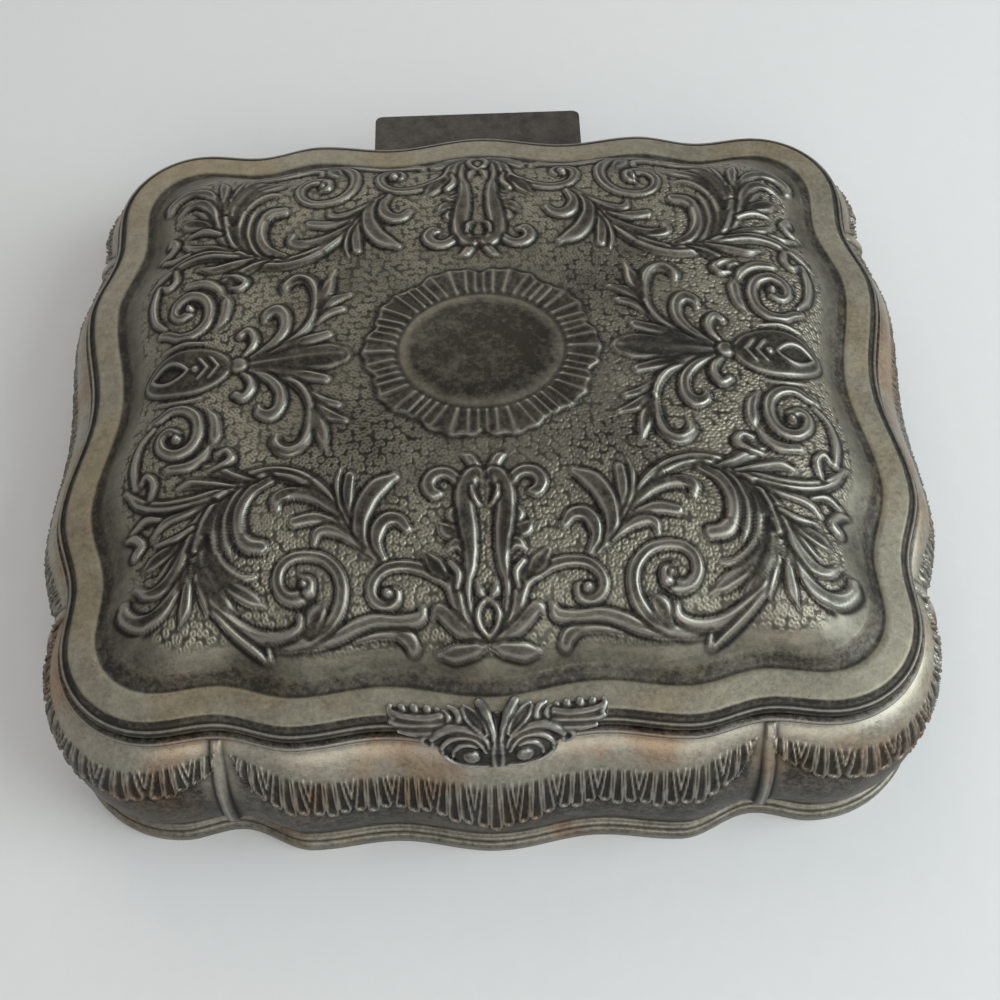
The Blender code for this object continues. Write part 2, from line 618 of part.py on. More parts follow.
def lid_shell(finish, parent):
    """Cast lid: lip, stepped edge, flat border, flank, dome and the oval's raised ring."""
    along = samples(LID_SPAN_STEPS)
    top_edge = LID_EDGE + LID_EDGE_ROUND
    rings = [
        ring(0.0, LID_BOTTOM, along),
        ring(0.0, LID_EDGE, along),
        ring(-LID_EDGE_ROUND, top_edge, along),
        ring(-LID_EDGE_ROUND - STEP_WIDTH, top_edge, along),
        ring(-BORDER_INSET, BORDER_OUTER, along),
    ]
    for step in range(FLANK_STEPS):
        share = step / FLANK_STEPS
        inset = BORDER_INSET + BORDER_WIDTH + FLANK_WIDTH * share
        rise = FLANK_RISE * share + FLANK_BULGE * share * (1 - share)
        rings.append(ring(-inset, BORDER_INNER + rise, along))
    edge = outline(-PANEL_INSET, along)
    rings.append(np.column_stack([edge, np.full(len(edge), PANEL_HEIGHT)]))
    for share in DOME_STEPS:
        level = dome_ring(edge, PANEL_HEIGHT, share)
        level[:, 2] += ornament_relief(level)
        rings.append(level)
    widest = np.abs(edge[:, 0]).max()
    for step in range(RING_STEPS + 1):
        inset = RING_WIDTH * step / RING_STEPS
        flat = oval(edge, RING_HALF_WIDTH - inset, RING_HALF_DEPTH - inset)
        lift = RING_HEIGHT * math.sin(step / RING_STEPS * math.pi)
        height = PANEL_HEIGHT + dome_rise((RING_HALF_WIDTH - inset) / widest) + lift
        rings.append(np.column_stack([flat, np.full(len(flat), height)]))
    inner_edge = outline(-PANEL_INSET - LID_WALL, along)
    inner_base = PANEL_HEIGHT - LID_WALL
    under = [
        ring(-LID_LAND, LID_BOTTOM, along),
        ring(-LID_LAND, BORDER_OUTER - LID_WALL, along),
        ring(-BORDER_INSET - BORDER_WIDTH - LID_WALL, BORDER_INNER - LID_WALL, along),
        np.column_stack([inner_edge, np.full(len(inner_edge), inner_base)]),
    ]
    inner_steps = UNDER_DOME_STEPS + (RING_HALF_WIDTH / widest,)
    under += [dome_ring(inner_edge, inner_base, share) for share in inner_steps]
    return add_object("lid_shell", skin(rings[::-1] + under), finish, (0.0, 0.0, LID_BOTTOM), parent)


def ornament_section():
    """Back and face of the thumb ornament as (offset, height) pairs, from top to bottom."""
    gap = FIT_GAP
    slope = BORDER_RISE / BORDER_WIDTH
    start = BORDER_OUTER + slope * (ORNAMENT_INSET - BORDER_INSET) + gap
    edge = LID_EDGE + LID_EDGE_ROUND + gap
    bottom = LID_EDGE - ORNAMENT_DROP
    hang = max(ORNAMENT_STANDOFF + gap, float(shoulder(bottom)) + gap * 2)
    thick = ORNAMENT_THICKNESS
    back = (
        (-ORNAMENT_INSET, start), (-BORDER_INSET, BORDER_OUTER + gap), (-STEP_WIDTH, edge + gap),
        (gap, edge), (gap * 2, LID_BOTTOM), (ORNAMENT_STANDOFF + gap, BODY_TOP), (hang, bottom),
    )
    face = (
        (-ORNAMENT_INSET, start + thick / 2), (-BORDER_INSET, BORDER_OUTER + thick),
        (0.0, edge + thick), (thick, edge + thick / 2), (thick + gap, LID_BOTTOM),
        (ORNAMENT_STANDOFF + thick, BODY_TOP - gap), (hang + thick / 2, bottom),
    )
    return back, face


def rim_front(x):
    """How far forward the rim's edge lies, at a distance to the side of the middle."""
    return -PLAN_HALF_DEPTH - float(swell(np.array([abs(x)]), 0.0)[0])


def thumb_ornament(finish, parent):
    """Casting draped over the front of the rim, wider where the wings are."""
    back, face = ornament_section()
    half_widths = (
        ORNAMENT_TOP, ORNAMENT_WING_ROOT, ORNAMENT_HALF_WIDTH, ORNAMENT_WING_EDGE, ORNAMENT_WAIST,
        ORNAMENT_EYES, ORNAMENT_TAIL,
    )
    rows = []
    for back_point, face_point, width in zip(back, face, half_widths):
        places = np.linspace(-width, width, ORNAMENT_STEPS + 1)
        loop = []
        for (offset, height), order in ((face_point, 1), (back_point, -1)):
            for x in places[::order]:
                loop.append((x, rim_front(x) - offset, height))
        rows.append(np.array(loop))
    return add_object("thumb_ornament", skin(rows), finish, (0.0, 0.0, LID_BOTTOM), parent)


def knuckle_spans():
    """Start and end of each knuckle along the hinge, with a gap between them."""
    pitch = (HINGE_WIDTH + FIT_GAP) / KNUCKLE_COUNT
    starts = [-HINGE_WIDTH / 2 + pitch * index for index in range(KNUCKLE_COUNT)]
    return [(start, start + pitch - FIT_GAP) for start in starts]


def hinge_lid_leaf(finish, parent):
    """Plate under the back of the lid, with a stop tail behind the barrel and two knuckles."""
    front = PLAN_HALF_DEPTH + RIM_FRONT_MIDDLE - LEAF_SEAT
    tail = HINGE_Y + LEAF_TAIL
    centre = LEAF_HALF_WIDTH - LEAF_CORNER_RADIUS
    corner = [(LEAF_HALF_WIDTH, front)]
    for step in range(LEAF_CORNER_STEPS + 1):
        turn = step / LEAF_CORNER_STEPS * math.pi / 2
        x = centre + LEAF_CORNER_RADIUS * math.cos(turn)
        corner.append((x, tail - LEAF_CORNER_RADIUS * (1 - math.sin(turn))))
    flat = corner + [(-x, y) for x, y in corner[::-1]]
    rings = [[(x, y, height) for x, y in flat] for height in (LEAF_BOTTOM, LEAF_TOP)]
    axis = (0.0, HINGE_Y, HINGE_HEIGHT)
    piece = add_object("hinge_lid_leaf", skin(rings), finish, axis, parent)
    for number, (start, end) in enumerate(knuckle_spans()):
        if number % 2:
            web_top = LEAF_BOTTOM + LEAF_THICKNESS / 2
            low = (start, HINGE_Y - KNUCKLE_RADIUS, HINGE_HEIGHT)
            web = box(low, (end, HINGE_Y + KNUCKLE_RADIUS, web_top))
            combine(piece, f"lid_web_{number}", web, "UNION")
            combine(piece, f"lid_knuckle_{number}", cylinder(KNUCKLE_RADIUS, start, end), "UNION")
    bore = cylinder(PIN_RADIUS + FIT_GAP, -HINGE_WIDTH, HINGE_WIDTH)
    combine(piece, "lid_knuckle_bore", bore, "DIFFERENCE")
    return piece


def hinge_body_leaf(finish):
    """Seat soldered to the shoulder of the back wall, carrying three knuckles."""
    half = HINGE_WIDTH / 2
    face = HINGE_Y - KNUCKLE_RADIUS - FIT_GAP
    seat_top = LEAF_BOTTOM - FIT_GAP
    low = (-half, face - SEAT_REACH, seat_top - SEAT_DEPTH)
    axis = (0.0, HINGE_Y, HINGE_HEIGHT)
    piece = add_object("hinge_body_leaf", box(low, (half, face, seat_top)), finish, axis)
    for number, (start, end) in enumerate(knuckle_spans()):
        if number % 2 == 0:
            low = (start, face - FIT_GAP, HINGE_HEIGHT - KNUCKLE_RADIUS / 2)
            arm = box(low, (end, HINGE_Y, seat_top))
            combine(piece, f"body_arm_{number}", arm, "UNION")
            combine(piece, f"body_knuckle_{number}", cylinder(KNUCKLE_RADIUS, start, end), "UNION")
    bore = cylinder(PIN_RADIUS + FIT_GAP, -HINGE_WIDTH, HINGE_WIDTH)
    combine(piece, "body_knuckle_bore", bore, "DIFFERENCE")
    along = plain_samples()
    moulding = [
        ring(MOULDING_REACH + FIT_GAP, BODY_TOP, along),
        ring(MOULDING_REACH + FIT_GAP, BODY_TOP - MOULDING_HEIGHT, along),
    ]
    wall = skin(moulding + wall_rings(clearance=SOLDER_GAP, along=along)[1:])
    combine(piece, "wall_clearance_cutter", wall, "DIFFERENCE")
    return piece


def hinge_pin(finish):
    """Pin through all the knuckles, with a head at each end."""
    half = HINGE_WIDTH / 2 + FIT_GAP
    sections = (
        (PIN_HEAD_RADIUS, -half - PIN_HEAD_LENGTH), (PIN_HEAD_RADIUS, -half), (PIN_RADIUS, -half),
        (PIN_RADIUS, half), (PIN_HEAD_RADIUS, half), (PIN_HEAD_RADIUS, half + PIN_HEAD_LENGTH),
    )
    turns = [2 * math.pi * side / KNUCKLE_SIDES for side in range(KNUCKLE_SIDES)]
    rings = []
    for radius, x in sections:
        circle = [(radius * math.cos(turn), radius * math.sin(turn)) for turn in turns]
        rings.append([(x, HINGE_Y + y, HINGE_HEIGHT + z) for y, z in circle])
    return add_object("hinge_pin", skin(rings), finish, (0.0, HINGE_Y, HINGE_HEIGHT))


def build():
    """Make every piece of the box, closed."""
    for leftover in list(bpy.data.objects):
        bpy.data.objects.remove(leftover, do_unlink=True)
    pewter = material("antiqued_pewter", (0.23, 0.22, 0.2), 0.38, 1.0)
    ornament_metal = material("dark_pewter", (0.13, 0.125, 0.12), 0.34, 1.0)
    hinge_metal = material("hinge_metal", (0.16, 0.15, 0.14), 0.42, 1.0)
    velvet = material("dark_red_velvet", (0.17, 0.014, 0.024), 0.9, 0.0)
    card = material("lining_card", (0.38, 0.33, 0.26), 0.85, 0.0)
    felt = material("green_felt", (0.035, 0.07, 0.045), 0.95, 0.0)
    hinge_axis = bpy.data.objects.new("lid_hinge_axis", None)
    bpy.context.collection.objects.link(hinge_axis)
    hinge_axis.location = (0.0, HINGE_Y, HINGE_HEIGHT)

    body_shell(pewter)
    rebate = FOOT_REACH - FOOT_LAND - FIT_GAP
    sheet("base_felt", rebate, 0.0, FELT_THICKNESS, felt, 1.0)
    sheet("bottom_plate", rebate, PLATE_TOP - PLATE_THICKNESS, PLATE_THICKNESS, pewter, 1.0)
    board_reach = FOOT_REACH - FOOT_LAND - LEDGE_WIDTH - FLOOR_BOARD_MARGIN
    sheet("floor_board", board_reach, FLOOR_BOARD_BOTTOM, FLOOR_BOARD_THICKNESS, card, 1.0)
    wall_lining(velvet)
    pad_offset = -LINING_INSET - LINING_THICKNESS - PAD_MARGIN
    pad_base = FLOOR_BOARD_TOP + FIT_GAP
    pad("floor_pad", pad_offset, pad_base, FLOOR_PAD_EDGE, FLOOR_PAD_CROWN, 1, velvet)

    lid_shell(pewter, hinge_axis)
    board_top = BORDER_OUTER - LID_WALL - FIT_GAP
    board_bottom = board_top - LID_BOARD_THICKNESS
    sheet("lid_board", -LID_BOARD_INSET, board_bottom, LID_BOARD_THICKNESS, card, parent=hinge_axis)
    lid_pad_base = board_bottom - FIT_GAP
    pad("lid_pad", -LID_PAD_INSET, lid_pad_base, LID_PAD_EDGE, LID_PAD_CROWN, -1, velvet, hinge_axis)
    thumb_ornament(ornament_metal, hinge_axis)
    hinge_lid_leaf(hinge_metal, hinge_axis)
    hinge_body_leaf(hinge_metal)
    hinge_pin(hinge_metal)


build()
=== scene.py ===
"""Trinket box in antiqued white metal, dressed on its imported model.

The box stands at the origin on a pale table, +Z up, with its front towards -Y.
Lengths are in metres unless a name ends in _MM.  The lid and the walls are cast
with their ornament in relief, so each is one surface raised by that relief.
"""

import math

import bmesh
import bpy
import numpy as np
from mathutils import Euler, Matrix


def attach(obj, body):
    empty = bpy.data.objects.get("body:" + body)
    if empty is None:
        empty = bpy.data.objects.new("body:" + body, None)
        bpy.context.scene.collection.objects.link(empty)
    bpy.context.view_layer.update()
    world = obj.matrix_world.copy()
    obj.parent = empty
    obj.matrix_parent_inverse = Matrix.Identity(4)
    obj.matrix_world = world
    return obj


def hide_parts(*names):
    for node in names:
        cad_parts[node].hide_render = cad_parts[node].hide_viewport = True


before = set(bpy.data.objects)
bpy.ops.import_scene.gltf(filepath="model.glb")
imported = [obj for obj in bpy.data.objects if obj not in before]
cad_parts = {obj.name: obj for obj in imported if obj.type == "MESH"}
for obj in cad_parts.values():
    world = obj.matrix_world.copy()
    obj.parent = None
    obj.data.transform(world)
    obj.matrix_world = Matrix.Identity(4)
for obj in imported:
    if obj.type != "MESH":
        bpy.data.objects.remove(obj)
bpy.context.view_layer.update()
MM = 0.001


# The table top, the room's light and the camera.  The table is matt and nearly white,
# a large window light stands to the right, and the camera looks down on the box.
CAMERA_PLACE = (0.002735, -0.108552, 0.192892)
CAMERA_TURN_DEG = (28.356, 1.093, -1.539)
FOCAL_LENGTH_MM = 46.8
SENSOR_WIDTH_MM = 36.0
CLIP_START = 5 * MM
TABLE_HALF_SIZE = 1.6
TABLE_COLOUR = (0.605, 0.612, 0.612)
TABLE_SCALE = 260.0
ROOM_LIGHT = (0.86, 0.85, 0.84)
ROOM_STRENGTH = 0.55
WINDOW_LIGHTS = (
    ("window_right", (0.52, -0.12, 0.38), 0.5, 4.1, (0.88, 0.97, 1.0)),
    ("window_back", (-0.3, 0.95, 0.85), 0.8, 2.9, (1.0, 0.95, 0.87)),
    ("window_front", (0.1, -0.9, 0.8), 0.7, 3.6, (1.0, 0.97, 0.92)),
)


def plug(tree, node, inputs):
    """Fill a node's inputs, by name or number, each with a value or from another socket."""
    for key, value in inputs.items():
        if isinstance(value, bpy.types.NodeSocket):
            tree.links.new(value, node.inputs[key])
        else:
            node.inputs[key].default_value = value


def add_node(tree, kind, inputs=None, **settings):
    """New node with its settings made and its inputs filled."""
    node = tree.nodes.new(kind)
    for key, value in settings.items():
        setattr(node, key, value)
    plug(tree, node, inputs or {})
    return node


def object_place(tree):
    """Place of the shaded point in the object's own coordinates."""
    return add_node(tree, "ShaderNodeTexCoord").outputs["Object"]


def noise(tree, place, scale, detail, roughness=0.5, distortion=0.0):
    """Value of a noise at a place."""
    return add_node(tree, "ShaderNodeTexNoise", {
        "Vector": place, "Scale": scale, "Detail": detail, "Roughness": roughness,
        "Distortion": distortion}).outputs["Fac"]


def sums(tree, operation, *values, clamp=False):
    """Carry a math operation through two or more values or sockets, from the first on."""
    total = values[0]
    for value in values[1:]:
        node = add_node(tree, "ShaderNodeMath", {0: total, 1: value}, operation=operation)
        total = node.outputs[0]
    node.use_clamp = clamp
    return total


def remap(tree, value, low, high, to_low=0.0, to_high=1.0):
    """Value carried smoothly from one range to another."""
    return add_node(tree, "ShaderNodeMapRange", {
        "Value": value, "From Min": low, "From Max": high, "To Min": to_low, "To Max": to_high,
    }, interpolation_type="SMOOTHSTEP").outputs["Result"]


def mix_colour(tree, share, low, high, blend="MIX"):
    """Colour between low and high by a share; each may be a value or a socket."""
    low, high = (end if isinstance(end, bpy.types.NodeSocket) else (*end, 1.0)
                 for end in (low, high))
    return add_node(tree, "ShaderNodeMix", {0: share, 6: low, 7: high}, data_type="RGBA",
                    blend_type=blend).outputs[2]


def bump(tree, height, strength, distance, **under):
    """Normal of a bump; under may hold the Normal that it is laid over."""
    return add_node(tree, "ShaderNodeBump", {
        "Height": height, "Strength": strength, "Distance": distance, **under}).outputs["Normal"]


def node_material(name):
    """New material with nodes; returns it with its tree and its Principled shader."""
    finish = bpy.data.materials.new(name)
    finish.use_nodes = True
    return finish, finish.node_tree, finish.node_tree.nodes["Principled BSDF"]


def placed(name, data):
    """New object with that data, in the scene."""
    item = bpy.data.objects.new(name, data)
    bpy.context.collection.objects.link(item)
    return item


def table_top():
    """Square sheet under the box, in matt white with a faint unevenness."""
    size = TABLE_HALF_SIZE
    mesh = bpy.data.meshes.new("table_top")
    mesh.from_pydata([(-size, -size, 0.0), (size, -size, 0.0), (size, size, 0.0),
                      (-size, size, 0.0)], [], [(0, 1, 2, 3)])
    finish, tree, shader = node_material("matt_table")
    uneven = noise(tree, object_place(tree), TABLE_SCALE, 4.0)
    plug(tree, shader, {
        "Base Color": mix_colour(tree, uneven, [0.97 * c for c in TABLE_COLOUR], TABLE_COLOUR),
        "Normal": bump(tree, uneven, 0.12, 0.6 * MM),
        "Roughness": 0.85, "Specular IOR Level": 0.25,
    })
    mesh.materials.append(finish)
    return placed("table_top", mesh)


table_top()

world = bpy.data.worlds.new("room")
world.use_nodes = True
plug(world.node_tree, world.node_tree.nodes["Background"], {
    "Color": (*ROOM_LIGHT, 1.0), "Strength": ROOM_STRENGTH})
bpy.context.scene.world = world
bpy.context.scene.view_settings.view_transform = "Standard"

for light_name, place, size, power, tint in WINDOW_LIGHTS:
    data = bpy.data.lights.new(light_name, "AREA")
    data.size, data.energy, data.color = size, power, tint
    light = placed(light_name, data)
    light.location = place
    light.rotation_euler = (-light.location.normalized()).to_track_quat("-Z", "Y").to_euler()

camera_data = bpy.data.cameras.new("photo_camera")
camera_data.lens = FOCAL_LENGTH_MM
camera_data.sensor_width = SENSOR_WIDTH_MM
camera_data.clip_start = CLIP_START
camera = placed("photo_camera", camera_data)
camera.location = CAMERA_PLACE
camera.rotation_euler = Euler([math.radians(turn) for turn in CAMERA_TURN_DEG], "XYZ")
bpy.context.scene.camera = camera


# The plan that every piece of the box shares: a rounded rectangle whose edge swells
# and dips, with a notch at each rib.  The foot swells more than the rim, and its side
# notches lean towards the corners.
PLAN_HALF_WIDTH = 60.4 * MM
PLAN_HALF_DEPTH = 51.9 * MM
PLAN_CORNER_RADIUS = 14.0 * MM
LEAST_CORNER_RADIUS = 9.0 * MM
STATIONS_FRONT = (0.0, 15.0 * MM, 27.0 * MM, 38.0 * MM)
STATIONS_SIDE = (31.5 * MM, 18.0 * MM, 0.0)
RIM_SWELL = np.array([2.0, 0.1, 1.3, -0.8, 0.0, 0.0, -0.3, 2.9, 0.3]) * MM
FOOT_SWELL = np.array([2.0, 0.1, 1.1, -2.4, -1.0, -4.0, -5.0, -2.5, -1.0]) * MM
NOTCH_LEAN = 8.0 * MM
NOTCH_LEAN_SPAN = 12.0 * MM
BODY_TOP = 22.7 * MM

corner_start = PLAN_HALF_WIDTH - PLAN_CORNER_RADIUS
corner_end = corner_start + PLAN_CORNER_RADIUS * math.pi / 2
quarter_length = corner_end + PLAN_HALF_DEPTH - PLAN_CORNER_RADIUS
corner_middle = (corner_start + corner_end) / 2
stations = np.array([
    *STATIONS_FRONT, corner_start, corner_end, *[quarter_length - s for s in STATIONS_SIDE],
])
rib_places = (stations[3], stations[6])


def unit(value):
    """Value held between 0 and 1."""
    return np.clip(value, 0, 1)


def bell(away, width):
    """Bell curve: 1 in the middle, and e to the minus square of away over width beside it."""
    return np.exp(-(away / width) ** 2)


def soft_step(value, low, high):
    """0 below low, 1 above high, and a smooth cubic between."""
    share = unit((value - low) / (high - low))
    return share * share * (3 - 2 * share)


def swell(along, deepening):
    """Swell past the rectangle: half a cosine wave joins each two stations."""
    span = np.clip(np.searchsorted(stations, along, side="right") - 1, 0, len(stations) - 2)
    share = (along - stations[span]) / (stations[span + 1] - stations[span])
    ease = (1 - np.cos(np.pi * share)) / 2
    rim = RIM_SWELL[span] + (RIM_SWELL[span + 1] - RIM_SWELL[span]) * ease
    foot = FOOT_SWELL[span] + (FOOT_SWELL[span + 1] - FOOT_SWELL[span]) * ease
    return rim + (foot - rim) * deepening


def outline(offset, along, deepening=0.0, proud=0.0):
    """Front right quarter of the plan: a corner arc between two straights, pushed out.

    A point is the arc's centre line plus its outward normal times radius and swell; its
    place along the arc is drawn towards the corner next to the side notch.
    """
    offset, along, deepening, proud = np.broadcast_arrays(offset, along, deepening, proud)
    radius = np.maximum(PLAN_CORNER_RADIUS + offset, LEAST_CORNER_RADIUS)
    across = PLAN_HALF_WIDTH + offset - radius
    back = PLAN_HALF_DEPTH + offset - radius
    lean = NOTCH_LEAN * deepening * bell(along - rib_places[1], NOTCH_LEAN_SPAN)
    place = along - lean
    front_share = unit(place / corner_start)
    turn = unit((place - corner_start) / (corner_end - corner_start)) * np.pi / 2
    side_share = unit((quarter_length - place) / (quarter_length - corner_end))
    reach = radius + swell(along, deepening) + proud
    return across * front_share + np.sin(turn) * reach, -back * side_share - np.cos(turn) * reach


